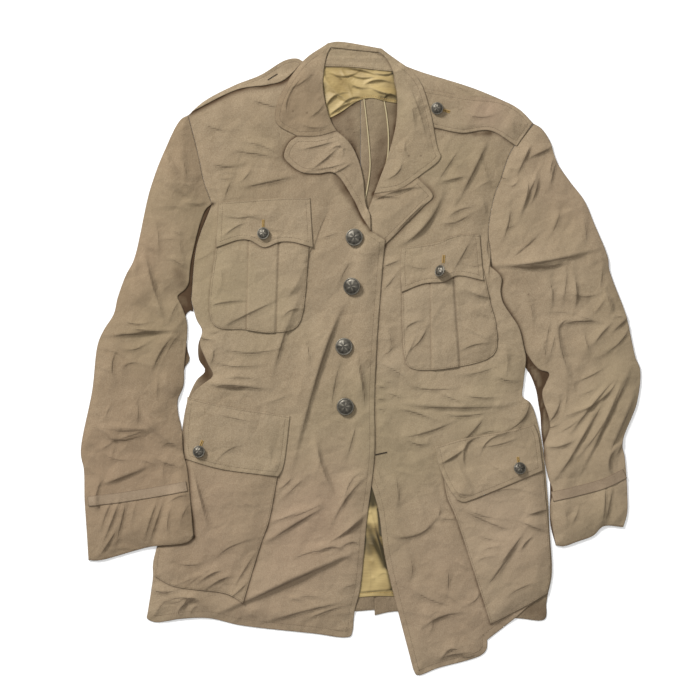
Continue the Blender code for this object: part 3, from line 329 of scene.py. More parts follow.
# Finer creases, in the same columns: a negative height is a trough.
CREASES: dict[str, Table] = {
    "front_right": (
        (-186, 235, -176, 233, -166, 236, 3, 1), (-183, 242, -169, 241, -157, 240, 3, 0.7),
        (-140, 252, -148, 237, -160, 227, 4, 1), (-203, 222, -192, 219, -183, 218, 3, 0.7),
        (-202, 205, -196, 201, -188, 203, 3, 1.6), (-222, 125, -203, 132, -187, 144, 3, 0.8),
        (-199, 34, -190, 33, -181, 36, 4, 0.8), (-185, -27, -157, -25, -131, -28, 5, 1.4),
        (-203, -33, -173, -38, -142, -36, 6, 2), (-127, -60, -108, -54, -88, -45, 3, 0.8),
        (-98, -25, -95, -37, -88, -49, 3, 1.1), (-79, 118, -65, 141, -53, 161, 6, 1.2),
        (-257, -291, -254, -301, -251, -311, 3, 1.2), (-261, -314, -242, -318, -228, -310, 4, 1.2),
        (-233, -331, -220, -311, -196, -330, 6, 1.8), (-222, -333, -214, -323, -204, -331, 4, 1.2),
        (-268, -337, -261, -323, -251, -314, 4, 1), (-153, -318, -144, -330, -129, -340, 6, 1.2),
        (-92, -311, -83, -314, -73, -314, 3, 0.8), (-107, -171, -96, -163, -90, -155, 4, 1.4),
        (-104, -184, -86, -168, -72, -155, 4, 1.2), (-118, -213, -98, -207, -74, -196, 4, 1.2),
        (-58, -106, -49, -142, -31, -183, 5, 1.8), (-58, -106, -53, -132, -60, -155, 4, 1.2),
        (9, -145, -14, -162, -23, -200, 4, 1.2), (8, -201, -12, -222, -56, -246, 5, 1.6),
        (-43, -184, -73, -200, -118, -215, 4, 1.2), (-30, -249, -10, -239, 3, -249, 5, 1.8),
        (-27, -301, -14, -296, -4, -293, 4, 1), (-99, -310, -88, -314, -77, -315, 3, 0.9),
        (-74, -343, -47, -330, -5, -318, 5, 1.5), (-8, 24, 0, -15, 8, -64, 7, 1.4),
        (-212, 28, -202, 25, -190, 23, 6, 2), (-140, 336, -125, 331, -109, 327, 7, 2),
        (-169, 232, -174, 219, -179, 205, 7, 1.2), (-157, 283, -121, 274, -103, 258, 10, 2.5),
        (-38, 200, -53, 167, -64, 131, 13, -1.5), (-30, 164, -43, 159, -57, 155, 6, 1),
        (-12, 125, -21, 115, -32, 89, 8, 1.2), (-27, -2, -35, -34, -40, -70, 12, 1.8),
        (-6, -80, -12, -106, -21, -135, 10, 1.5), (-79, 37, -69, 11, -68, -18, 9, 1.6),
        (-190, 18, -144, 8, -92, 18, 10, 1.5), (-202, 1, -164, -10, -121, -6, 9, 1.5),
        (-274, -296, -261, -304, -238, -301, 7, 1.8), (-240, -337, -228, -319, -204, -314, 6, 1.8),
        (-92, -262, -66, -252, -34, -246, 8, 1.5), (-56, -252, -38, -245, -20, -250, 6, 1.8),
        (-21, -257, -8, -262, -1, -278, 7, 1.4), (-92, -314, -66, -309, -40, -315, 8, 1.2),
        (-209, 310, -191, 300, -168, 297, 10, 1.6), (-199, 258, -177, 250, -150, 254, 10, 1.6),
        (-203, 24, -192, 8, -199, -12, 8, 1.8), (-101, -34, -84, -49, -72, -72, 9, 1.4),
    ),
    "breast_pocket_right": (
        (-196, 68, -177, 73, -148, 75, 7, 1.6), (-183, 40, -144, 59, -109, 76, 7, 1.6),
        (-103, 53, -90, 63, -75, 64, 7, 1.3), (-188, 125, -181, 109, -183, 89, 8, 1),
    ),
    "breast_flap_right": (
        (-181, 157, -164, 170, -148, 177, 5, 1.1), (-151, 189, -142, 184, -129, 181, 4, 0.8),
        (-125, 175, -118, 168, -110, 166, 3, 0.8), (-181, 188, -157, 183, -129, 189, 8, 1),
    ),
    "skirt_pocket_right": (
        (-221, -138, -208, -184, -198, -227, 5, 1.8), (-203, -197, -192, -213, -177, -226, 4, 0.9),
        (-233, -301, -216, -288, -196, -275, 4, 0.9), (-246, -297, -225, -289, -205, -279, 3, 0.7),
        (-169, -304, -151, -275, -135, -249, 4, 1.3), (-190, -262, -168, -244, -129, -232, 7, 1.3),
        (-228, -184, -222, -210, -213, -242, 8, 1.8), (-212, -292, -194, -280, -181, -276, 7, 2),
        (-202, -301, -183, -288, -168, -284, 7, 1.8), (-246, -262, -225, -268, -203, -265, 8, 1.2),
        (-148, -292, -157, -301, -168, -310, 5, 1.6), (-177, -158, -157, -184, -129, -192, 12, 1.2),
    ),
    "skirt_flap_right": (
        (-157, -79, -144, -88, -134, -90, 3, 0.6), (-203, -70, -164, -77, -129, -85, 10, 1),
        (-190, -135, -173, -119, -150, -111, 10, 1.2), (-129, -106, -118, -122, -121, -142, 8, 1),
    ),
    "front_left": (
        (18, -137, 23, -150, 31, -171, 6, 1.6), (44, -141, 51, -148, 61, -150, 3, 1.2),
        (56, -153, 74, -180, 84, -210, 4, 1), (104, -194, 105, -207, 124, -209, 4, 1.8),
        (125, -265, 133, -270, 139, -275, 4, 1.4), (107, -306, 121, -314, 133, -323, 4, 1.5),
        (135, -322, 150, -314, 156, -301, 4, 1.3), (133, -349, 143, -361, 156, -374, 4, 1.6),
        (103, -393, 118, -378, 131, -385, 5, 2.2), (120, -379, 136, -389, 155, -384, 5, 1.8),
        (20, -36, 26, -37, 32, -38, 3, 1.5), (20, -51, 25, -53, 31, -54, 3, 1.5),
        (20, -64, 26, -66, 32, -67, 3, 1), (35, -45, 46, -49, 56, -53, 4, 1.6),
        (107, -68, 131, -75, 181, -67, 5, 1.8), (150, -101, 165, -96, 181, -93, 4, 1.2),
        (29, 119, 39, 123, 51, 128, 4, 1.6), (27, 89, 38, 98, 49, 115, 4, 1.1),
        (25, 3, 35, 7, 46, 18, 3, 0.9), (25, 25, 38, 24, 46, 24, 3, 0.7),
        (29, -28, 35, -31, 44, -29, 3, 0.8), (122, -23, 155, -18, 181, -7, 6, 1.2),
        (166, 159, 165, 141, 169, 125, 4, 1.6), (173, 138, 168, 122, 165, 97, 5, 1.8),
        (173, -98, 196, -96, 212, -85, 5, 1.6), (113, 183, 129, 193, 151, 198, 5, 1.6),
        (105, 154, 118, 157, 129, 161, 3, 0.8), (131, 278, 113, 250, 92, 219, 7, 1.5),
        (144, 215, 161, 227, 174, 231, 3, 0.8), (110, 361, 129, 352, 152, 341, 4, 1.2),
        (98, 359, 108, 349, 118, 343, 3, 0.9), (105, 229, 121, 233, 135, 236, 6, 2.5),
        (156, 209, 160, 201, 164, 190, 6, 2.5), (122, 219, 131, 206, 148, 201, 9, 1.6),
        (139, 89, 153, 84, 168, 79, 7, 2), (51, -66, 73, -71, 98, -81, 7, 2.2),
        (64, -34, 92, -40, 129, -37, 9, 2), (131, -44, 155, -51, 186, -49, 9, 2),
        (103, -44, 116, -51, 135, -57, 7, 1.8), (56, -101, 72, -111, 87, -111, 8, 1.8),
        (40, -145, 48, -171, 46, -200, 10, 1.8), (74, -319, 92, -340, 87, -361, 10, 1.6),
        (56, -246, 66, -270, 62, -293, 10, 1.4), (103, -262, 113, -285, 110, -311, 10, 1.6),
        (25, 50, 38, 29, 35, 3, 9, 1.5), (181, 18, 191, 1, 188, -23, 8, 1.8),
        (173, -18, 188, -28, 207, -29, 7, 2), (152, 271, 160, 250, 168, 224, 9, 1.4),
        (108, 271, 116, 258, 131, 252, 9, 1.3),
    ),
    "breast_pocket_left": (
        (139, 88, 155, 81, 168, 79, 4, 1.3), (133, 44, 148, 33, 170, 24, 4, 1),
        (57, 37, 66, 45, 82, 50, 5, 1.2), (74, 37, 64, 11, 53, -8, 4, 0.9),
        (58, 8, 77, 24, 87, 47, 9, 1.4), (131, 11, 148, 18, 168, 20, 8, 1.4),
        (142, 76, 155, 60, 173, 53, 8, 1.3),
    ),
    "breast_flap_left": (
        (142, 154, 131, 133, 118, 112, 9, 1.4), (57, 125, 72, 118, 87, 118, 7, 1),
        (136, 125, 147, 120, 157, 123, 6, 1),
    ),
    "skirt_flap_left": (
        (136, -122, 139, -110, 152, -103, 5, 1.6), (135, -114, 134, -127, 135, -140, 4, 1.6),
        (156, -123, 166, -107, 185, -98, 6, 1.6), (110, -155, 116, -171, 131, -184, 5, 1.1),
        (103, -137, 120, -128, 136, -116, 7, 2.2), (126, -137, 133, -151, 143, -168, 6, 2),
        (113, -161, 126, -174, 142, -177, 7, 1.6), (155, -114, 181, -111, 207, -101, 10, 1.2),
        (162, -135, 181, -145, 196, -158, 8, 1.3),
    ),
    "skirt_pocket_left": (
        (161, -184, 191, -170, 239, -179, 5, 1), (131, -190, 155, -203, 187, -209, 7, 1.4),
        (148, -266, 161, -259, 178, -257, 4, 0.9), (155, -252, 168, -246, 187, -244, 4, 0.8),
        (133, -223, 142, -220, 155, -222, 3, 0.6), (208, -211, 222, -218, 238, -224, 6, 2.2),
        (218, -203, 230, -200, 243, -196, 6, 2), (208, -249, 214, -240, 224, -231, 6, 1.8),
        (159, -301, 181, -270, 203, -239, 15, 2), (147, -223, 162, -233, 181, -236, 8, 1.3),
        (187, -311, 207, -298, 230, -291, 10, 1.2),
    ),
    "sleeve_right_top": (
        (-252, 267, -246, 254, -237, 241, 5, 1.8), (-250, 242, -240, 224, -222, 210, 6, 2),
        (-233, 227, -222, 223, -213, 211, 4, 1.2), (-228, 202, -214, 200, -203, 202, 4, 1.4),
        (-261, 196, -242, 197, -222, 194, 4, 0.7), (-246, 166, -238, 163, -234, 159, 3, 1.2),
        (-281, 150, -274, 144, -266, 141, 4, 0.9), (-261, 154, -248, 155, -237, 154, 3, 0.7),
        (-235, 154, -234, 141, -230, 131, 4, 1), (-248, 131, -238, 125, -230, 120, 5, 1.8),
        (-294, 141, -292, 119, -294, 97, 3, 0.9), (-283, 145, -272, 106, -255, 44, 5, 1.6),
        (-251, 41, -243, 63, -235, 76, 3, 0.9), (-298, 41, -281, 36, -251, 36, 5, 2),
        (-234, 33, -246, 18, -261, -12, 4, 1), (-251, 36, -243, 28, -234, 20, 3, 0.8),
        (-316, 16, -295, 11, -266, 28, 4, 1.3), (-339, 12, -320, 8, -296, -5, 5, 1.1),
        (-313, -16, -298, -6, -280, -10, 4, 1.2), (-342, -11, -332, -15, -320, -20, 4, 0.8),
        (-264, -20, -264, -38, -265, -57, 3, 1.2), (-324, -58, -329, -70, -335, -80, 3, 0.9),
        (-281, -70, -268, -89, -254, -103, 6, 2.2), (-339, -93, -329, -98, -320, -106, 4, 1.3),
        (-320, -106, -329, -114, -342, -120, 4, 1), (-320, -106, -294, -99, -270, -90, 4, 1.3),
        (-339, -90, -313, -90, -281, -94, 3, 0.8), (-320, -110, -322, -125, -326, -138, 3, 0.8),
        (-261, -118, -248, -110, -235, -118, 5, 1.2), (-287, -132, -274, -136, -264, -141, 4, 1.1),
        (-350, -138, -344, -149, -339, -157, 4, 1.3), (-346, -177, -344, -188, -342, -194, 4, 2),
        (-251, -129, -257, -145, -255, -161, 4, 1), (-313, -180, -324, -213, -339, -246, 7, 2.4),
        (-318, -223, -328, -240, -341, -258, 6, 2.2), (-291, -184, -295, -200, -298, -220, 4, 1),
        (-225, -177, -238, -180, -251, -188, 5, 1.3), (-222, -188, -229, -200, -234, -213, 4, 1.2),
        (-326, -250, -307, -248, -290, -250, 3, 1), (-339, -93, -313, -106, -273, -94, 9, 2),
        (-335, -155, -343, -175, -342, -196, 7, 2.4), (-257, -183, -265, -210, -276, -240, 8, 2.4),
        (-240, 271, -230, 252, -228, 229, 9, 1.6), (-272, 187, -264, 157, -265, 125, 12, 1.6),
        (-303, 89, -287, 76, -274, 55, 9, 1.8), (-313, 53, -295, 45, -274, 47, 8, 1.8),
        (-316, 14, -324, -10, -318, -36, 10, 1.8), (-300, -41, -290, -64, -292, -85, 9, 1.8),
        (-344, -114, -324, -129, -298, -131, 9, 1.6), (-274, -122, -256, -135, -230, -140, 9, 1.8),
        (-306, -184, -311, -210, -321, -246, 9, 1.8), (-246, -190, -251, -213, -248, -236, 8, 1.6),
    ),
    "sleeve_left_top": (
        (181, 118, 220, 119, 259, 125, 4, 1.4), (233, 114, 250, 120, 278, 125, 4, 1.2),
        (204, 115, 211, 109, 216, 101, 3, 1), (268, 122, 266, 93, 260, 63, 6, 1.2),
        (276, 115, 281, 89, 278, 60, 4, 1.4), (316, 122, 313, 102, 312, 88, 5, 1.4),
        (316, 93, 324, 77, 330, 58, 4, 1.6), (318, 79, 312, 68, 304, 59, 3, 1.2),
        (280, 59, 291, 53, 311, 47, 4, 1.2), (239, 59, 261, 60, 282, 57, 3, 0.8),
        (259, 18, 260, 44, 278, 50, 4, 1.2), (350, 44, 339, 23, 311, 2, 5, 1.6),
        (328, 53, 337, 54, 346, 53, 3, 1), (276, -32, 299, -23, 320, -10, 4, 1.4),
        (282, -49, 296, -44, 307, -38, 3, 0.9), (269, -37, 268, -54, 264, -71, 3, 1),
        (226, 40, 233, 31, 239, 21, 3, 0.9), (248, 50, 243, 31, 240, 11, 4, 1.1),
        (254, 41, 250, 18, 243, -5, 4, 1), (334, -20, 313, -53, 254, -83, 5, 2),
        (343, -21, 322, -73, 287, -151, 5, 1.6), (326, -60, 308, -96, 272, -140, 5, 1.4),
        (239, -89, 248, -90, 259, -85, 4, 1.3), (254, -97, 272, -89, 287, -75, 4, 1.1),
        (259, -77, 278, -71, 298, -62, 3, 1), (254, -114, 256, -119, 261, -123, 3, 1),
        (246, -127, 259, -125, 272, -127, 3, 0.8), (332, -127, 337, -119, 342, -106, 4, 1.4),
        (285, -184, 281, -203, 272, -220, 5, 1.2), (221, 276, 217, 268, 214, 261, 4, 1.6),
        (251, 261, 248, 250, 246, 239, 4, 2), (217, 232, 216, 211, 209, 190, 5, 1.8),
        (190, 228, 198, 224, 205, 232, 4, 1.3), (187, 258, 194, 248, 202, 245, 3, 1),
        (187, 167, 196, 171, 204, 176, 3, 0.7), (172, 237, 183, 236, 196, 229, 4, 1.6),
        (248, 275, 235, 268, 221, 262, 7, 2.4), (231, 236, 228, 219, 221, 201, 8, 2.4),
        (195, 118, 238, 119, 270, 127, 9, 2.4), (248, -162, 278, -119, 307, -62, 10, 2.8),
        (317, -166, 317, -190, 313, -219, 7, 2.4), (235, 112, 248, 89, 246, 60, 10, 1.8),
        (207, 86, 220, 68, 224, 42, 9, 1.8), (220, 37, 235, 19, 240, -5, 9, 1.8),
        (325, 45, 313, 32, 303, 19, 8, 2), (348, 53, 339, 45, 329, 36, 7, 2),
        (290, 37, 295, 14, 308, -5, 9, 1.8), (259, -51, 254, -70, 242, -85, 9, 2),
        (266, 89, 290, 81, 311, 86, 10, 1.5), (259, 200, 254, 177, 243, 157, 12, 1.4),
        (285, 187, 292, 167, 290, 146, 10, 1.4), (194, 200, 191, 174, 181, 148, 10, 1.8),
        (315, -54, 298, -86, 280, -114, 9, 2), (254, -184, 266, -200, 266, -223, 9, 1.6),
    ),
    "lapel_right": (
        (-84, 271, -56, 276, -30, 284, 6, 1.4), (-66, 245, -47, 258, -29, 275, 5, 1.6),
        (-79, 242, -40, 248, -20, 255, 4, 1.3), (-40, 271, -26, 276, -23, 265, 4, 1.4),
        (-38, 240, -26, 245, -14, 253, 7, 1.5),
    ),
    "lapel_left": ((20, 207, 32, 210, 48, 209, 6, 1.8),),
    "collar": (
        (-68, 313, -56, 320, -47, 333, 4, 0.9), (44, 284, 53, 272, 60, 265, 4, 0.9),
        (61, 284, 57, 274, 61, 261, 3, 1), (-92, 352, -79, 357, -64, 370, 9, 1.2),
        (-79, 307, -64, 300, -46, 302, 8, 1.4), (56, 336, 66, 323, 69, 300, 10, 1.8),
        (30, 232, 48, 242, 53, 258, 9, 1.4),
    ),
    "shoulder_strap_right": (),
    "shoulder_strap_left": ((136, 320, 155, 314, 176, 318, 9, 1.2), (181, 326, 194, 310, 199, 292, 9, 1)),
    "neck_lining": (
        (-21, 378, 1, 375, 25, 367, 3.5, 2.4), (14, 352, 27, 346, 43, 343, 3.5, 2.8),
        (-43, 315, -26, 327, -4, 336, 2.8, 1.8), (-40, 372, -22, 361, -12, 343, 3.5, 2.2),
        (-51, 375, -38, 352, -12, 331, 5.6, 3.9), (-46, 357, -32, 344, -22, 340, 3.5, 2.6),
        (-46, 326, -35, 341, -17, 346, 4.2, 2.9), (-25, 375, -12, 357, 6, 352, 4.9, 2.9),
        (-14, 370, 1, 365, 22, 367, 3.5, 2.1), (6, 357, 22, 362, 40, 359, 3.5, 2.9),
        (17, 372, 30, 369, 43, 372, 3.5, 2.6), (-40, 372, -20, 367, -1, 375, 3.5, 1.8),
        (-27, 328, -12, 339, 4, 339, 3.5, 1.6), (30, 339, 38, 344, 48, 339, 3.5, 2.3),
    ),
    "skirt_lining": (
        (14, -203, 25, -246, 36, -288, 6, 2.4), (4, -262, 12, -281, 10, -309, 4, 0.5),
        (9, -215, 22, -236, 33, -262, 5, 1.8), (21, -285, 30, -279, 39, -283, 4, 0.5),
    ),
    "back_right": (
        (-34, 311, -17, 300, 1, 291, 7, 1.8), (-27, 288, -14, 284, -1, 276, 4, 1.4),
        (-27, 313, -20, 291, -21, 258, 10, 1.2),
    ),
}

# Stitched rows, by sheet: the outline lines that a row follows and how far in it runs, in mm.
ROWS: dict[str, tuple[tuple[str, float], ...]] = {
    "front_right": (("edge_right top_right", 7), ("hem_right", 9)),
    "front_left": (("edge_left hem_front_left", 7), ("hem_left", 9)),
    "breast_pocket_right": (("bpr_bag", 2.2),),
    "breast_pocket_left": (("bpl_bag", 2.2),),
    "breast_flap_right": (("bpr_flap_front bpr_flap_scallop bpr_flap_side", 6), ("bpr_flap_top", 2.4)),
    "breast_flap_left": (("bpl_flap_front bpl_flap_scallop bpl_flap_side", 6), ("bpl_flap_top", 2.4)),
    "skirt_pocket_right": (("spr_bag_front spr_bag_lower spr_bag_side", 2.2),),
    "skirt_pocket_left": (("spl_bag_front spl_bag_lower spl_bag_side", 2.2),),
    "skirt_flap_right": (("spr_flap_front spr_flap_lower spr_flap_side", 6), ("spr_flap_top", 2.4)),
    "skirt_flap_left": (("spl_flap_side spl_flap_lower spl_flap_front", 6), ("spl_flap_top", 2.4)),
    "lapel_right": (("gorge_right lapel_edge_right", 6.5),),
    "lapel_left": (("gorge_left lapel_edge_left", 6.5),),
    "collar": (("gorge_right collar_edge_right collar_top collar_edge_left gorge_left", 6.5),),
    "shoulder_strap_right": (("strap_right", 4.5),),
    "shoulder_strap_left": (("strap_left_upper strap_left_end strap_left_lower strap_left_tip", 5),),
    "sleeve_right_top": (("cuff_right", 2.2),),
    "sleeve_left_top": (("cuff_left", 2.2),),
    "neck_lining": (("yoke_edge", 3),),
    "collar_stand": (("stand_edge stand_top", 2.4),),
    "skirt_lining": (("slit_hem", 5),),
}


@dataclass(frozen=True)
class Pleat:
    """A raised band between two lines of a sheet: its two edges run from top to bottom."""

    left_top: tuple[float, float]
    left_low: tuple[float, float]
    right_top: tuple[float, float]
    right_low: tuple[float, float]
    height: float

    def gaps(self, x: np.ndarray, y: np.ndarray) -> tuple[np.ndarray, np.ndarray]:
        """Give how far inside its left and its right edge each plan point lies."""
        share = (y - self.left_low[1]) / (self.left_top[1] - self.left_low[1])
        left = self.left_low[0] + (self.left_top[0] - self.left_low[0]) * share
        right = self.right_low[0] + (self.right_top[0] - self.right_low[0]) * share
        return x - left, right - x


# Box pleats by sheet, in mm.
PLEATS: dict[str, Pleat] = {
    "breast_pocket_right": Pleat((-145.6, 160), (-148.9, 30), (-107.2, 160), (-111.2, 30), 1.1),
    "breast_pocket_left": Pleat((90, 120), (92.3, -20), (118.5, 122), (128.7, -20), 1.1),
}


def smooth_line(points: Sequence[tuple[float, float]], step: float) -> np.ndarray:
    """Run a centripetal curve through some points.

    Args:
        points: the plan points, in mm.
        step: about how far apart the curve's points are, in mm.

    Returns:
        The curve's points, one row each.
    """
    knots = np.array(points, dtype=float)
    if len(knots) == 2:
        count = max(2, int(np.linalg.norm(knots[1] - knots[0]) / step))
        return knots[0] + (knots[1] - knots[0]) * np.linspace(0.0, 1.0, count)[:, None]
    ends = np.vstack([2 * knots[0] - knots[1], knots, 2 * knots[-1] - knots[-2]])
    out = []
    for i in range(len(knots) - 1):
        p0, p1, p2, p3 = ends[i:i + 4]
        t1 = math.sqrt(np.linalg.norm(p1 - p0))
        t2 = t1 + math.sqrt(np.linalg.norm(p2 - p1))
        t3 = t2 + math.sqrt(np.linalg.norm(p3 - p2))
        count = max(2, int(np.linalg.norm(p2 - p1) / step))
        t = np.linspace(t1, t2, count, endpoint=False)[:, None]
        a1 = (t1 - t) / t1 * p0 + t / t1 * p1
        a2 = (t2 - t) / (t2 - t1) * p1 + (t - t1) / (t2 - t1) * p2
        a3 = (t3 - t) / (t3 - t2) * p2 + (t - t2) / (t3 - t2) * p3
        b1 = (t2 - t) / t2 * a1 + t / t2 * a2
        b2 = (t3 - t) / (t3 - t1) * a2 + (t - t1) / (t3 - t1) * a3
        out.append((t2 - t) / (t2 - t1) * b1 + (t - t1) / (t2 - t1) * b2)
    out.append(knots[-1:])
    return np.vstack(out)


def line(name: str, step: float = LINE_STEP) -> np.ndarray:
    """Give a named line's smooth points; a minus before the name turns it round."""
    run = smooth_line(LINES[name.lstrip("-")], step)
    return run[::-1] if name.startswith("-") else run


def even_points(run: np.ndarray, step: float, closed: bool = False) -> np.ndarray:
    """Walk along a run of points at an even step.

    Args:
        run: the plan points.
        step: the distance between two points of the result.
        closed: whether the run goes back to its start.

    Returns:
        Points an even distance apart.
    """
    path = np.vstack([run, run[:1]]) if closed else run
    lengths = np.concatenate([[0.0], np.cumsum(np.linalg.norm(np.diff(path, axis=0), axis=1))])
    count = max(2, int(lengths[-1] / step) + 1)
    stops = np.linspace(0.0, lengths[-1], count, endpoint=not closed)
    return np.stack([np.interp(stops, lengths, path[:, k]) for k in (0, 1)], axis=1)


def ways(run: np.ndarray) -> np.ndarray:
    """Give the unit direction along a run at each of its points."""
    step = np.gradient(run, axis=0)
    return step / np.maximum(np.linalg.norm(step, axis=1), 1e-9)[:, None]


def left_of(way: np.ndarray) -> np.ndarray:
    """Turn directions a quarter to the left."""
    return np.stack([-way[:, 1], way[:, 0]], axis=1)


def loop_area(loop: np.ndarray) -> float:
    """Give a closed loop's area, positive where it runs anticlockwise."""
    x, y = loop[:, 0], loop[:, 1]
    return float((x * np.roll(y, -1) - np.roll(x, -1) * y).sum() / 2)


def inside_rows(x: np.ndarray, y: np.ndarray, loop: np.ndarray) -> np.ndarray:
    """Tell which points of a regular grid lie inside a closed loop.

    Args:
        x: the points' first plan coordinates.
        y: their second ones, of which only few differ.
        loop: the closed loop.

    Returns:
        True for each point inside.
    """
    x0, y0 = loop[:, 0], loop[:, 1]
    x1, y1 = np.roll(x0, -1), np.roll(y0, -1)
    rise = np.where(y1 == y0, 1e-12, y1 - y0)
    held = np.zeros(len(x), dtype=bool)
    level = np.round(y, 4)
    order = np.argsort(level, kind="stable")
    starts = np.flatnonzero(np.diff(level[order], prepend=np.inf))
    for rows in np.split(order, starts[1:]):
        height = y[rows[0]]
        hit = (y0 > height) != (y1 > height)
        if hit.any():
            cuts = np.sort((x0 + (height - y0) / rise * (x1 - x0))[hit])
            held[rows] = np.searchsorted(cuts, x[rows]) % 2 == 1
    return held


def nearest_leg(run: np.ndarray, points: np.ndarray
                ) -> tuple[np.ndarray, np.ndarray, np.ndarray]:
    """Find the leg of a run that is nearest to each point.

    Args:
        run: the run's points.
        points: the plan points.

    Returns:
        Each point's leg, the share of that leg gone by, and the way from there to the point.
    """
    along = np.diff(run, axis=0)
    length2 = np.maximum((along ** 2).sum(axis=1), 1e-12)
    rel = points[:, None, :] - run[None, :-1]
    share = np.clip((rel * along[None]).sum(axis=2) / length2, 0.0, 1.0)
    off = rel - share[:, :, None] * along[None]
    best = np.argmin(np.hypot(off[:, :, 0], off[:, :, 1]), axis=1)
    every = np.arange(len(points))
    return best, share[every, best], off[every, best]


def smooth_step(value: np.ndarray) -> np.ndarray:
    """Ease a value from 0 to 1, flat past both ends."""
    t = np.clip(value, 0.0, 1.0)
    return t * t * (3.0 - 2.0 * t)


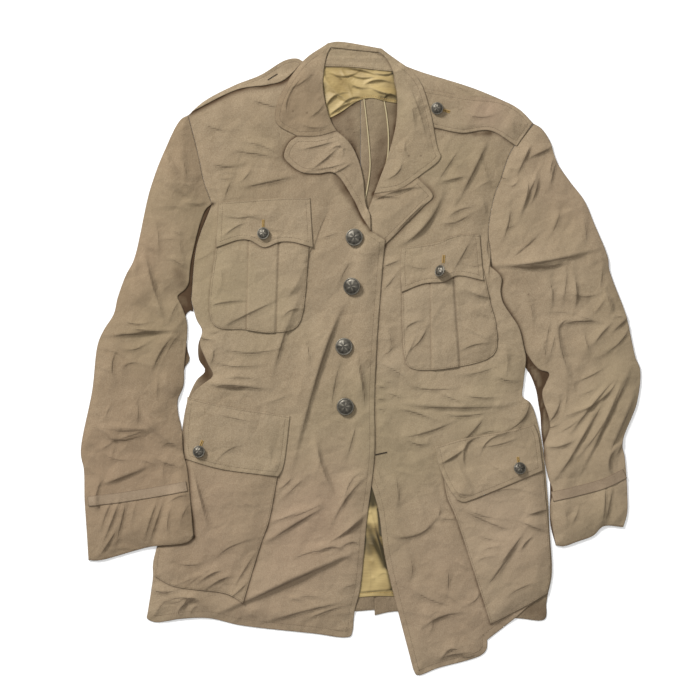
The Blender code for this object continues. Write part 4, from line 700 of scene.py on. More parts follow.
@dataclass
class Patch:
    """A window of the relief map, with one value for each square millimetre."""

    xs: np.ndarray
    ys: np.ndarray
    stack: np.ndarray
    crease_shade: np.ndarray = field(init=False)

    def __post_init__(self) -> None:
        """Start with no painted shade lines."""
        self.crease_shade = self.blank()

    def blank(self, value: float = 0.0) -> np.ndarray:
        """Give an even map of this window."""
        return np.full(self.stack.shape, value)

    def grid(self) -> tuple[np.ndarray, np.ndarray]:
        """Give each cell's plan place."""
        return tuple(np.meshgrid(self.xs, self.ys))

    def mask(self, loop: np.ndarray) -> np.ndarray:
        """Mark the cells inside a closed loop."""
        x, y = self.grid()
        return inside_rows(x.ravel(), y.ravel(), loop).reshape(x.shape)

    def edge_gap(self, run: np.ndarray) -> np.ndarray:
        """Give each cell's distance to the nearest point of a fine run.

        Args:
            run: points every half millimetre or so.

        Returns:
            The distances, in mm.
        """
        x, y = self.grid()
        near_x, near_y = self.blank(1e5), self.blank(1e5)
        col = np.clip(np.rint(run[:, 0] - self.xs[0]).astype(int), 0, len(self.xs) - 1)
        row = np.clip(np.rint(run[:, 1] - self.ys[0]).astype(int), 0, len(self.ys) - 1)
        near_x[row, col], near_y[row, col] = run[:, 0], run[:, 1]
        gap = np.hypot(near_x - x, near_y - y)
        for step in (64, 32, 16, 8, 4, 2, 1, 1):
            for down in (-step, 0, step):
                for over in (-step, 0, step):
                    if down or over:
                        px = np.roll(near_x, (down, over), axis=(0, 1))
                        py = np.roll(near_y, (down, over), axis=(0, 1))
                        far = np.hypot(px - x, py - y)
                        won = far < gap
                        gap[won], near_x[won], near_y[won] = far[won], px[won], py[won]
        return gap

    def blur(self, values: np.ndarray, sigma: float) -> np.ndarray:
        """Soften a map by a sigma in mm."""
        reach = max(1, int(round(2.5 * sigma)))
        taps = np.exp(-0.5 * (np.arange(-reach, reach + 1) / sigma) ** 2)
        taps /= taps.sum()
        for axis in (0, 1):
            margin = [(reach, reach) if a == axis else (0, 0) for a in (0, 1)]
            wide = np.pad(values, margin, mode="edge")
            size = values.shape[axis]
            values = sum(tap * wide.take(range(k, k + size), axis=axis)
                         for k, tap in enumerate(taps))
        return values

    def grow(self, values: np.ndarray, cells: int) -> np.ndarray:
        """Spread each map value's highest over some cells all round."""
        for _ in range(cells):
            best = values.copy()
            best[1:] = np.maximum(best[1:], values[:-1])
            best[:-1] = np.maximum(best[:-1], values[1:])
            best[:, 1:] = np.maximum(best[:, 1:], values[:, :-1])
            best[:, :-1] = np.maximum(best[:, :-1], values[:, 1:])
            values = best
        return values

    def spread(self, values: np.ndarray, held: np.ndarray, cells: int = 6) -> np.ndarray:
        """Carry a map on past the cells that hold it, so that its edge can be read."""
        out, known = np.where(held, values, 0.0), held.astype(float)
        for _ in range(cells):
            total, count = np.zeros_like(out), np.zeros_like(out)
            for axis in (0, 1):
                for way in (1, -1):
                    total += np.roll(out * known, way, axis=axis)
                    count += np.roll(known, way, axis=axis)
            fresh = (known == 0) & (count > 0)
            out[fresh] = total[fresh] / count[fresh]
            known[fresh] = 1.0
        return out

    def drape(self, held: np.ndarray, soft: float) -> np.ndarray:
        """Lay a sheet's underside on what is stacked below it.

        Args:
            held: the sheet's cells.
            soft: how widely it bridges the steps below it, in mm.

        Returns:
            The height of the sheet's underside.
        """
        base = self.spread(self.stack, held, 8)
        wide = self.blur(self.grow(base, max(1, int(round(soft * 0.8)))), soft)
        return np.maximum(wide, self.grow(base, 1)) + GAP

    def wavy(self, seed: int, length: float) -> np.ndarray:
        """Make a soft uneven field of about -1 to 1.

        Args:
            seed: which field it is.
            length: the usual length of its waves, in mm.

        Returns:
            The field, one value for each cell.
        """
        dice = np.random.default_rng(seed)
        x, y = self.grid()
        total = self.blank()
        for _ in range(8):
            angle, span = dice.uniform(0.0, 2 * math.pi), length * dice.uniform(0.6, 1.7)
            across = (x * math.sin(angle) - y * math.cos(angle)) / span
            along = (x * math.cos(angle) + y * math.sin(angle)) / span
            bend = dice.uniform(0.5, 1.6) * np.sin(across * dice.uniform(1.0, 3.0)
                                                   + dice.uniform(0.0, 6.3))
            total += np.sin(along * 2 * math.pi + bend + dice.uniform(0.0, 6.3))
        return total / 4.5

    def crinkled(self, seed: int, length: float, angle: float, stretch: float) -> np.ndarray:
        """Make crisp ridges of 0 to 1 that run mostly one way, as in slept-in cloth.

        Args:
            seed: which field it is.
            length: the usual distance between two ridges, in mm.
            angle: the way they run, in degrees.
            stretch: how many times longer than wide they are.

        Returns:
            The field, one value for each cell.
        """
        dice = np.random.default_rng(seed)
        x, y = self.grid()
        bend = 0.35 * length
        x = x + bend * self.wavy(seed + 500, length * 2.3)
        y = y + bend * self.wavy(seed + 900, length * 2.3)
        turn = math.radians(angle)
        u = (x * math.cos(turn) + y * math.sin(turn)) / length / stretch + 40.0
        v = (y * math.cos(turn) - x * math.sin(turn)) / length + 40.0
        table = dice.uniform(-1.0, 1.0, (97, 97))
        i, j = np.floor(u).astype(int), np.floor(v).astype(int)
        fu, fv = smooth_step(u - i), smooth_step(v - j)
        i, j = i % 96, j % 96
        low = table[j, i] * (1 - fu) + table[j, i + 1] * fu
        high = table[j + 1, i] * (1 - fu) + table[j + 1, i + 1] * fu
        return 1.0 - np.abs(low * (1 - fv) + high * fv) * 1.6

    def add_fold(self, row: Fold, total: np.ndarray, gain: float) -> None:
        """Add one fold, gentle on its lit side and steep on the other, with a painted shade line along
        its steep foot.

        Args:
            row: the fold.
            total: the map that takes it.
            gain: the share of its height that is added.
        """
        a, m, b = (np.array(p, float) for p in ((row.x0, row.y0), (row.xm, row.ym),
                                                (row.x1, row.y1)))
        length = np.linalg.norm(m - a) + np.linalg.norm(b - m)
        t = np.linspace(0.0, 1.0, max(5, int(length / 5.0)))[:, None]
        crest = a * (1 - t) * (1 - 2 * t) + m * 4 * t * (1 - t) + b * t * (2 * t - 1)
        way = ways(crest)
        crest = np.vstack([crest[0] - way[0] * length * 0.2, crest,
                           crest[-1] + way[-1] * length * 0.2])
        lit = np.tanh(3.0 * left_of(ways(crest)) @ np.array(LIGHT_FROM))
        reach = row.width * (WIND_SHARE if row.height > 0 else 1.0)
        low = np.floor(crest.min(axis=0) - reach - (self.xs[0], self.ys[0])).astype(int)
        high = np.ceil(crest.max(axis=0) + reach - (self.xs[0], self.ys[0])).astype(int)
        rows = slice(max(0, low[1]), max(0, high[1]))
        cols = slice(max(0, low[0]), max(0, high[0]))
        x, y = np.meshgrid(self.xs[cols], self.ys[rows])
        if x.size == 0:
            return
        best, share, off = nearest_leg(crest, np.stack([x.ravel(), y.ravel()], axis=1))
        gap, along = np.hypot(off[:, 0], off[:, 1]), np.diff(crest, axis=0)
        hand = along[best, 0] * off[:, 1] - along[best, 1] * off[:, 0]
        facing = 0.5 + 0.5 * np.where(hand > 0, 1.0, -1.0) * lit[best]
        uneven = LEE_SHARE + (WIND_SHARE - LEE_SHARE) * facing if row.height > 0 else 1.0
        run = (best + share) / len(along)
        taper = np.sin(np.pi * np.clip(run, 0.0, 1.0)) ** 1.2
        drop = np.clip(1.0 - gap / (row.width * uneven * (0.45 + 0.55 * taper)), 0.0, 1.0)
        height = (row.height * gain * taper * drop ** 1.25).reshape(x.shape)
        if row.height > LARGE_FOLD:
            total[rows, cols] = np.maximum(total[rows, cols], height)
        else:
            total[rows, cols] += height
        # Painted shade: a dark line along the fold's steep foot, kept in the patch's map of painted
        # crease shade.
        foot = 0.35 * row.width * LEE_SHARE if row.height > 0 else 0.0
        shown = np.sqrt(np.abs(lit[best])) if row.height > 0 else 1.0
        away = gap * np.where((hand > 0) == (lit[best] > 0), -1.0, 1.0)
        if row.height < 0:
            away = np.abs(away)
        dark = min(1.0, 0.62 + 0.2 * abs(row.height)) * taper ** 0.5 * shown * np.exp(
            -((away - foot) / LINE_WIDTH) ** 2)
        self.crease_shade[rows, cols] = np.maximum(self.crease_shade[rows, cols], dark.reshape(x.shape))

    def folds(self, sheet: str, seed: int) -> np.ndarray:
        """Sum up a sheet's folds and creases.

        Args:
            sheet: the sheet's name.
            seed: which unevenness runs through them.

        Returns:
            The height of the folds.
        """
        main, fine = self.blank(), self.blank()
        for row in MAIN_FOLDS.get(sheet, ()):
            self.add_fold(Fold(*row), main, FOLD_GAIN)
        for row in CREASES.get(sheet, ()):
            self.add_fold(Fold(*row), fine, CREASE_GAIN)
        return (main + fine) * (1.0 + 0.12 * self.wavy(seed, 38.0))

    def band(self, pleat: Pleat) -> np.ndarray:
        """Give a pleat's raised band with a ditch along both of its edges."""
        left, right = pleat.gaps(*self.grid())
        ditch = (np.exp(-((left + PLEAT_OUT) / DITCH_WIDTH) ** 2)
                 + np.exp(-((right + PLEAT_OUT) / DITCH_WIDTH) ** 2))
        return pleat.height * smooth_step((left + 1) / 2.2) * smooth_step(
            (right + 1) / 2.2) - 0.4 * ditch

    def read(self, values: np.ndarray, x: np.ndarray, y: np.ndarray) -> np.ndarray:
        """Read a map between its cells at plan points in mm."""
        u = np.clip(x - self.xs[0], 0, len(self.xs) - 1.001)
        v = np.clip(y - self.ys[0], 0, len(self.ys) - 1.001)
        i, j = u.astype(int), v.astype(int)
        fu, fv = u - i, v - j
        return ((values[j, i] * (1 - fu) + values[j, i + 1] * fu) * (1 - fv)
                + (values[j + 1, i] * (1 - fu) + values[j + 1, i + 1] * fu) * fv)


class Relief:
    """The whole relief map, from the table up."""

    def __init__(self, margin: float = 14.0) -> None:
        """Clear the map.

        Args:
            margin: how far it goes past the tunic's lines, in mm.
        """
        every = np.vstack([np.array(row, float) for row in LINES.values()])
        low = np.floor(every.min(axis=0) - margin)
        high = np.ceil(every.max(axis=0) + margin)
        self.xs = np.arange(low[0], high[0] + 1)
        self.ys = np.arange(low[1], high[1] + 1)
        self.stack = np.full((len(self.ys), len(self.xs)), -GAP)

    def patch(self, loop: np.ndarray, margin: int = 10) -> Patch:
        """Give the window round a loop; its stack is a view of the whole map's."""
        col = np.clip([int(loop[:, 0].min() - self.xs[0]) - margin,
                       int(loop[:, 0].max() - self.xs[0]) + margin + 2], 0, len(self.xs))
        row = np.clip([int(loop[:, 1].min() - self.ys[0]) - margin,
                       int(loop[:, 1].max() - self.ys[0]) + margin + 2], 0, len(self.ys))
        rows, cols = slice(*row), slice(*col)
        return Patch(self.xs[cols], self.ys[rows], self.stack[rows, cols])

    def whole(self) -> Patch:
        """Give the whole map as one window."""
        return Patch(self.xs, self.ys, self.stack)


class Sock:
    """A shader socket that adds and multiplies like a number."""

    def __init__(self, tree: "Tree", socket: bpy.types.NodeSocket) -> None:
        """Hold a socket of a tree."""
        self.tree, self.socket = tree, socket

    def _math(self, operation: str, first: Any, second: Any) -> "Sock":
        """Add a Math node for an operation on two values."""
        return self.tree.node("ShaderNodeMath", {"operation": operation},
                              {0: first, 1: second})

    def __add__(self, other: Any) -> "Sock":
        """Add a value."""
        return self._math("ADD", self, other)

    def __sub__(self, other: Any) -> "Sock":
        """Take a value off."""
        return self._math("SUBTRACT", self, other)

    def __rsub__(self, other: Any) -> "Sock":
        """Take this off a value."""
        return self._math("SUBTRACT", other, self)

    def __mul__(self, other: Any) -> "Sock":
        """Multiply by a value."""
        return self._math("MULTIPLY", self, other)

    def __abs__(self) -> "Sock":
        """Drop the sign."""
        return self.tree.node("ShaderNodeMath", {"operation": "ABSOLUTE"}, {0: self})

    __radd__, __rmul__ = __add__, __mul__

    def clipped(self) -> "Sock":
        """Keep the value between 0 and 1."""
        return self.tree.node("ShaderNodeClamp", {}, {0: self})

    def ramp(self, low: float, high: float) -> "Sock":
        """Give 0 below one value and 1 above another, smoothly."""
        return self.tree.node("ShaderNodeMapRange", {"interpolation_type": "SMOOTHSTEP"},
                              {0: self, 1: low, 2: high})

    def other(self, name: str) -> "Sock":
        """Give another output of the same node."""
        return Sock(self.tree, self.socket.node.outputs[name])


class Tree:
    """One material's shader tree."""

    def __init__(self, name: str) -> None:
        """Start a material with an empty tree."""
        self.material = bpy.data.materials.new(name)
        self.material.use_nodes = True
        self.nodes = self.material.node_tree.nodes
        self.links = self.material.node_tree.links
        self.nodes.clear()

    def node(self, kind: str, settings: dict[str, Any], inputs: dict[Any, Any]) -> Sock:
        """Add a node.

        Args:
            kind: the node's type.
            settings: its properties; "stops" holds a ramp's (place, colour) pairs.
            inputs: a value or a Sock for each named or numbered socket.

        Returns:
            Its first output that is in use.
        """
        made = self.nodes.new(kind)
        for key, value in settings.items():
            if key == "stops":
                ramp = made.color_ramp
                while len(ramp.elements) < len(value):
                    ramp.elements.new(0.5)
                for element, (place, colour) in zip(ramp.elements, value):
                    element.position, element.color = place, colour
            else:
                setattr(made, key, value)
        for key, value in inputs.items():
            if isinstance(value, Sock):
                self.links.new(value.socket, made.inputs[key])
            else:
                made.inputs[key].default_value = value
        free = [out for out in made.outputs if out.enabled]
        return Sock(self, free[0]) if free else Sock(self, None)

    def place(self) -> Sock:
        """Give the Object coordinates."""
        return self.node("ShaderNodeTexCoord", {}, {}).other("Object")

    def weave(self) -> Sock:
        """Give the sheet's own weave coordinates, in metres."""
        return self.node("ShaderNodeUVMap", {"uv_map": "weave"}, {})

    def field(self, name: str) -> Sock:
        """Read a number that the sheet carries at each point."""
        return self.node("ShaderNodeAttribute", {"attribute_name": name}, {}).other("Fac")

    def noise(self, where: Sock, scale: float, detail: float = 2.0,
              rough: float = 0.55) -> Sock:
        """Give a noise of about 0 to 1."""
        return self.node("ShaderNodeTexNoise", {"noise_dimensions": "3D"},
                         {"Vector": where, "Scale": scale, "Detail": detail,
                          "Roughness": rough})

    def ridges(self, where: Sock, scale: float) -> Sock:
        """Give crisp thin ridges of 0 to 1, where a noise passes its middle."""
        return (1.0 - abs(self.noise(where, scale, 1.5, 0.45) - 0.5) * 6.0).clipped()

    def facets(self, where: Sock, scale: float) -> Sock:
        """Give slanting facets between straight creases, as in crushed cloth."""
        push = self.node("ShaderNodeTexNoise", {}, {"Vector": where, "Scale": scale * 0.8}
                         ).other("Color")
        moved = self.node("ShaderNodeVectorMath", {"operation": "MULTIPLY_ADD"}, {
            0: push, 1: (0.5 / scale,) * 3, 2: where})
        return self.node("ShaderNodeTexVoronoi", {"feature": "DISTANCE_TO_EDGE"}, {
            "Vector": moved, "Scale": scale})

    def bands(self, where: Sock, scale: float, direction: str, bend: float = 0.0) -> Sock:
        """Give even bands of 0 to 1 across a direction."""
        return self.node("ShaderNodeTexWave",
                         {"wave_type": "BANDS", "bands_direction": direction},
                         {"Vector": where, "Scale": scale, "Distortion": bend,
                          "Detail": 1.0}).other("Fac")

    def mix(self, share: Any, first: Any, second: Any, blend: str = "MIX") -> Sock:
        """Mix two colours.

        Args:
            share: how much of the second shows.
            first: the first colour.
            second: the second colour.
            blend: how the second lies on the first.

        Returns:
            The mixed colour.
        """
        return self.node("ShaderNodeMix", {"data_type": "RGBA", "blend_type": blend},
                         {0: share, 6: first, 7: second})

    def bump(self, height: Sock, distance: float, strength: float = 1.0,
             under: Sock | None = None) -> Sock:
        """Turn a height into a bumped normal.

        Args:
            height: the height, of about 0 to 1.
            distance: what a height of 1 stands for, in metres.
            strength: how much of it shows.
            under: a normal that it is laid on.

        Returns:
            The normal.
        """
        inputs = {"Height": height, "Distance": distance, "Strength": strength}
        if under is not None:
            inputs["Normal"] = under
        return self.node("ShaderNodeBump", {}, inputs)

    def finish(self, **sockets: Any) -> bpy.types.Material:
        """End the tree in a Principled shader.

        Args:
            sockets: its inputs, with an underscore for each space.

        Returns:
            The material.
        """
        values = {key.replace("_", " "): value for key, value in sockets.items()}
        shader = self.node("ShaderNodeBsdfPrincipled", {}, values)
        self.node("ShaderNodeOutputMaterial", {}, {"Surface": shader})
        return self.material


Colour = tuple[float, float, float, float]


def srgb(red: int, green: int, blue: int) -> Colour:
    """Turn a screen colour of 0 to 255 into the linear colour that a shader takes."""
    return tuple(v / 12.92 if v <= 0.04045 else ((v + 0.055) / 1.055) ** 2.4
                 for v in (red / 255, green / 255, blue / 255)) + (1.0,)


@dataclass(frozen=True)
class Drill:
    """Sun-faded cotton drill: a fine steep twill, mottled, paler on worn edges, with painted shade along
    edges and creases and in deep places.
    """

    name: str = "drill"
    light: Colour = srgb(168, 150, 124)
    dark: Colour = srgb(138, 119, 93)
    worn: Colour = srgb(182, 165, 140)
    olive: Colour = srgb(148, 134, 103)
    rose: Colour = srgb(170, 140, 120)
    deep: Colour = srgb(76, 57, 38)
    rib: float = 640.0
    # rim and crease: how strongly painted shade darkens a sheet's edge and a crease's steep foot.
    rim: float = 0.42
    crease: float = 0.42

    def make(self) -> bpy.types.Material:
        """Make the material."""
        t = Tree(self.name)
        place, weave = t.place(), t.weave()
        broad, middle = t.noise(place, 7.0, 2.0), t.noise(place, 34.0, 3.0)
        slub = t.noise(t.node("ShaderNodeMapping", {}, {"Vector": weave,
                                                       "Scale": (900.0, 110.0, 1.0)}), 1.0, 2.0)
        fleck = t.noise(place, 760.0, 3.0, 0.8)
        share = (middle * 0.4 + broad * 0.3 + fleck * 2.6 - 1.15 + t.field("tone")).clipped()
        body = t.mix(share, self.dark, self.light)
        body = t.mix(t.noise(place, 4.3, 2.0).ramp(0.42, 0.72) * 0.45, body, self.olive)
        body = t.mix(t.field("rose").clipped() * 0.75, body, self.rose)
        edge = 1.0 - t.field("edge").ramp(0.0, 2.4)
        wear = edge * t.noise(place, 130.0, 3.0).ramp(0.4, 0.75) * 0.1
        body = t.mix(wear, body, self.worn)
        # Painted shade: a dark line along each sheet's edge and along each crease's steep foot.
        patchy = t.noise(place, 36.0, 2.0).ramp(0.35, 0.6)
        rim = (1.0 - t.field("edge").ramp(0.3, 1.4)) * (patchy * 0.7 + 0.3)
        crease = t.field("crease").ramp(0.58, 0.88) * (patchy * 0.4 + 0.6)
        body = t.mix(rim * self.rim + crease * self.crease, body, self.deep)
        rib = t.bands(weave, self.rib, "DIAGONAL", 0.6)
        body = t.mix(0.16, body, t.mix(rib, (0.35, 0.33, 0.3, 1.0), (1.0, 1.0, 1.0, 1.0)),
                     "MULTIPLY")
        body = t.mix((slub - 0.5).clipped() * 0.5, body, self.worn)
        # Painted shade from the "shade" field, which also holds a few real pin holes.
        body = t.mix(t.field("shade").clipped(), body, self.deep)
        fine = t.bump(rib * 0.7 + slub * 0.5 + fleck, 0.00016, 0.6)
        crumple = t.noise(place, 60.0, 4.0, 0.62) * 0.6 + t.noise(place, 20.0, 2.0) * 0.8
        crumple = crumple + t.ridges(place, 46.0) * 0.35 + t.ridges(place, 110.0) * 0.15
        crumple = crumple + t.facets(place, 27.0) * 3.4 + t.facets(place, 80.0) * 0.4
        normal = t.bump(crumple, 0.0011, 0.6, t.bump(1.0 - crease, 0.0006, 0.8, fine))
        rough = 0.86 + middle * 0.1
        return t.finish(Base_Color=body, Roughness=rough, Normal=normal,
                        Specular_IOR_Level=0.22, Sheen_Weight=0.12, Sheen_Roughness=0.5)


@dataclass(frozen=True)
class Satin:
    """Old gold lining satin: long weft floats, a soft gloss and fine pulls, with painted sheen and
    painted shade.
    """

    name: str = "satin"
    light: Colour = srgb(196, 172, 116)
    dark: Colour = srgb(118, 94, 46)
    deep: Colour = srgb(62, 50, 14)

    def make(self) -> bpy.types.Material:
        """Make the material."""
        t = Tree(self.name)
        place, weave = t.place(), t.weave()
        long = t.noise(t.node("ShaderNodeMapping", {}, {"Vector": weave,
                                                       "Scale": (60.0, 900.0, 1.0)}), 1.0, 2.0)
        cloud = t.noise(place, 22.0, 3.0)
        # The light and dark golds are partly the cloth's uneven colour and partly painted sheen and
        # shade.
        body = t.mix((cloud * 1.5 + long * 0.5 - 0.5 + t.field("tone")).clipped(),
                     self.dark, self.light)
        # Painted shade along crease feet and from the "shade" field.
        line = t.field("crease").ramp(0.55, 0.85) * 0.42
        body = t.mix((t.field("shade") + line).clipped(), body, self.deep)
        normal = t.bump(long * 0.6 + t.noise(place, 150.0, 3.0) * 1.2, 0.0004, 0.5)
        return t.finish(Base_Color=body, Roughness=0.5 + cloud * 0.16, Normal=normal,
                        Specular_IOR_Level=0.5, Anisotropic=0.5, Sheen_Weight=0.25)


@dataclass(frozen=True)
class Braid:
    """Ribbed mohair braid: a herringbone of two rows, matt and a little rosy."""

    name: str = "braid"
    light: Colour = srgb(172, 152, 128)
    dark: Colour = srgb(128, 108, 84)
    deep: Colour = srgb(80, 62, 42)

    def make(self) -> bpy.types.Material:
        """Make the material."""
        t = Tree(self.name)
        place, weave = t.place(), t.weave()
        split = t.node("ShaderNodeSeparateXYZ", {}, {0: weave})
        across = split.other("Y")
        bent = t.node("ShaderNodeCombineXYZ", {}, {
            0: split + abs(across) * 0.9, 1: 0.0, 2: 0.0})
        rib = t.bands(bent, 190.0, "X", 0.4)
        body = t.mix((rib * 0.75 + t.noise(place, 300.0, 2.0) * 0.4 - 0.1).clipped(),
                     self.dark, self.light)
        # Painted shade along the braid's two edges.
        body = t.mix((1.0 - t.field("edge").ramp(0.2, 1.2)) * 0.6, body, self.deep)
        normal = t.bump(rib, 0.0005, 0.6)
        return t.finish(Base_Color=body, Roughness=0.82, Normal=normal,
                        Specular_IOR_Level=0.25, Sheen_Weight=0.2)


@dataclass(frozen=True)
class Ribbon:
    """A cream woven seam tape with khaki edges."""

    name: str = "tape"
    middle: Colour = srgb(192, 178, 142)
    edge: Colour = srgb(112, 92, 62)

    def make(self) -> bpy.types.Material:
        """Make the material."""
        t = Tree(self.name)
        across = t.node("ShaderNodeSeparateXYZ", {}, {0: t.weave()}).other("Y")
        body = t.mix(abs(across).ramp(0.0004, 0.001), self.middle, self.edge)
        grain = t.noise(t.place(), 700.0, 2.0)
        return t.finish(Base_Color=t.mix(grain * 0.3, body, self.edge), Roughness=0.8,
                        Normal=t.bump(grain, 0.0002, 0.5), Specular_IOR_Level=0.25)


@dataclass(frozen=True)
class Thread:
    """Twisted sewing thread."""

    name: str
    light: Colour
    dark: Colour

    def make(self) -> bpy.types.Material:
        """Make the material."""
        t = Tree(self.name)
        twist = t.noise(t.place(), 900.0, 2.0)
        body = t.mix(twist, self.dark, self.light)
        return t.finish(Base_Color=body, Roughness=0.62, Normal=t.bump(twist, 0.0002, 0.5),
                        Specular_IOR_Level=0.35)


@dataclass(frozen=True)
class Bronze:
    """Darkened button metal, rubbed bright on what stands proud."""

    name: str = "button_metal"
    dark: Colour = srgb(58, 55, 50)
    rubbed: Colour = srgb(170, 162, 146)

    def make(self) -> bpy.types.Material:
        """Make the material."""
        t = Tree(self.name)
        place = t.place()
        cloud, pit = t.noise(place, 160.0, 3.0), t.noise(place, 900.0, 2.0)
        proud = t.field("proud").clipped()
        body = t.mix((proud * 0.5 + cloud * 0.45 - 0.12).clipped(), self.dark, self.rubbed)
        return t.finish(Base_Color=body, Metallic=0.85, Roughness=0.36 + cloud * 0.22,
                        Normal=t.bump(pit, 0.00015, 0.5))


class Wardrobe:
    """All the finishes, each made once."""

    def __init__(self) -> None:
        """Make the materials."""
        self.by_cloth = {
            Cloth.DRILL: Drill().make(),
            # The insides: the drill painted darker, as painted shade, with a fainter painted edge line.
            Cloth.INSIDE: Drill(name="drill_inside", light=srgb(152, 134, 109),
                                dark=srgb(122, 104, 82), rim=0.12).make(),
            Cloth.SATIN: Satin().make(),
            Cloth.TAPE: Ribbon().make(),
            Cloth.BRAID: Braid().make(),
            Cloth.METAL: Bronze().make(),
        }
        self.thread = Thread("drill_thread", srgb(136, 118, 94), srgb(104, 88, 66)).make()
        self.gold = Thread("gold_thread", srgb(206, 172, 104), srgb(160, 124, 66)).make()
        # Dark thread for buttonhole slits: painted shade.
        self.slit = Thread("slit_shade", srgb(70, 58, 44), srgb(44, 36, 27)).make()


def sharp_corners(loop: np.ndarray, least: float = 32.0) -> np.ndarray:
    """Give the loop's points where it turns by more than an angle in degrees."""
    before = loop - np.roll(loop, 1, axis=0)
    after = np.roll(loop, -1, axis=0) - loop
    turn = np.degrees(np.abs(np.angle(np.exp(1j * (
        np.arctan2(after[:, 1], after[:, 0]) - np.arctan2(before[:, 1], before[:, 0]))))))
    return loop[turn > least]


def closed_loop(words: str) -> np.ndarray:
    """Join lines, named in order round a piece, to an anticlockwise loop, a little drawn in."""
    loop = np.vstack([line(word) for word in words.split()])
    loop = loop[np.linalg.norm(loop - np.roll(loop, 1, axis=0), axis=1) > CLOSE_POINTS]
    if loop_area(loop) < 0:
        loop = loop[::-1]
    return draw_in(loop, HALF_SEAM)


def draw_in(loop: np.ndarray, amount: float) -> np.ndarray:
    """Move a closed anticlockwise loop inwards by an amount."""
    before = loop - np.roll(loop, 1, axis=0)
    after = np.roll(loop, -1, axis=0) - loop
    before /= np.linalg.norm(before, axis=1)[:, None]
    after /= np.linalg.norm(after, axis=1)[:, None]
    first = np.stack([-before[:, 1], before[:, 0]], axis=1)
    mitre = first + np.stack([-after[:, 1], after[:, 0]], axis=1)
    size = np.maximum((mitre * first).sum(axis=1), 0.35)
    return loop + mitre / size[:, None] * amount


def put_on_table(mesh: bmesh.types.BMesh, name: str,
                 materials: Iterable[bpy.types.Material]) -> bpy.types.Object:
    """Make a finished bmesh an object of the scene.

    Args:
        mesh: the bmesh, which is freed.
        name: the object's name.
        materials: its materials, in order.

    Returns:
        The object, smooth all over.
    """
    data = bpy.data.meshes.new(name)
    mesh.to_mesh(data)
    mesh.free()
    for material in materials:
        data.materials.append(material)
    data.polygons.foreach_set("use_smooth", [True] * len(data.polygons))
    item = bpy.data.objects.new(name, data)
    bpy.context.scene.collection.objects.link(item)
    return item


def bar(mesh: bmesh.types.BMesh, place: Vector, way: Vector, up: Vector,
        size: tuple[float, float, float]) -> None:
    """Lay one small bar of thread.

    Args:
        mesh: the bmesh that takes it.
        place: its middle, in mm.
        way: the way it runs.
        up: the way its top faces.
        size: its length, width and height, in mm.
    """
    side = up.cross(way).normalized()
    top = way.cross(side).normalized()
    turn = Matrix((way.normalized(), side, top)).transposed().to_4x4()
    shape = Matrix.Diagonal((*size, 1.0))
    where = Matrix.Translation((place.x + SHIFT[0], place.y + SHIFT[1], place.z))
    bmesh.ops.create_cube(mesh, size=1.0,
                          matrix=Matrix.Scale(MM, 4) @ where @ turn @ shape)


@dataclass
class Shop:
    """The table that the tunic is laid on: its relief map, its finishes and its pieces."""

    relief: Relief = field(default_factory=Relief)
    wardrobe: Wardrobe = field(default_factory=Wardrobe)
    pieces: dict[str, bpy.types.Object] = field(default_factory=dict)

    def top_of(self, x: float, y: float) -> float:
        """Give the height of the topmost cloth at a plan place, in mm."""
        return float(self.relief.whole().read(self.relief.stack, np.array([x]),
                                              np.array([y]))[0])

    def slope_at(self, x: float, y: float, step: float = 2.0) -> Vector:
        """Give the way the topmost cloth faces at a plan place."""
        return Vector((self.top_of(x - step, y) - self.top_of(x + step, y),
                       self.top_of(x, y - step) - self.top_of(x, y + step),
                       2 * step)).normalized()

    def keep(self, item: bpy.types.Object, slot: Cloth, *nodes: str) -> bpy.types.Object:
        """Tie a finished piece to the body and hide the solids that it stands for."""
        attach(item, BODY)
        if nodes:
            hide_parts(*nodes)
        self.pieces[item.name] = item
        item.data.calc_loop_triangles()
        LOG.info("%s: %d triangles", item.name, len(item.data.loop_triangles))
        return item


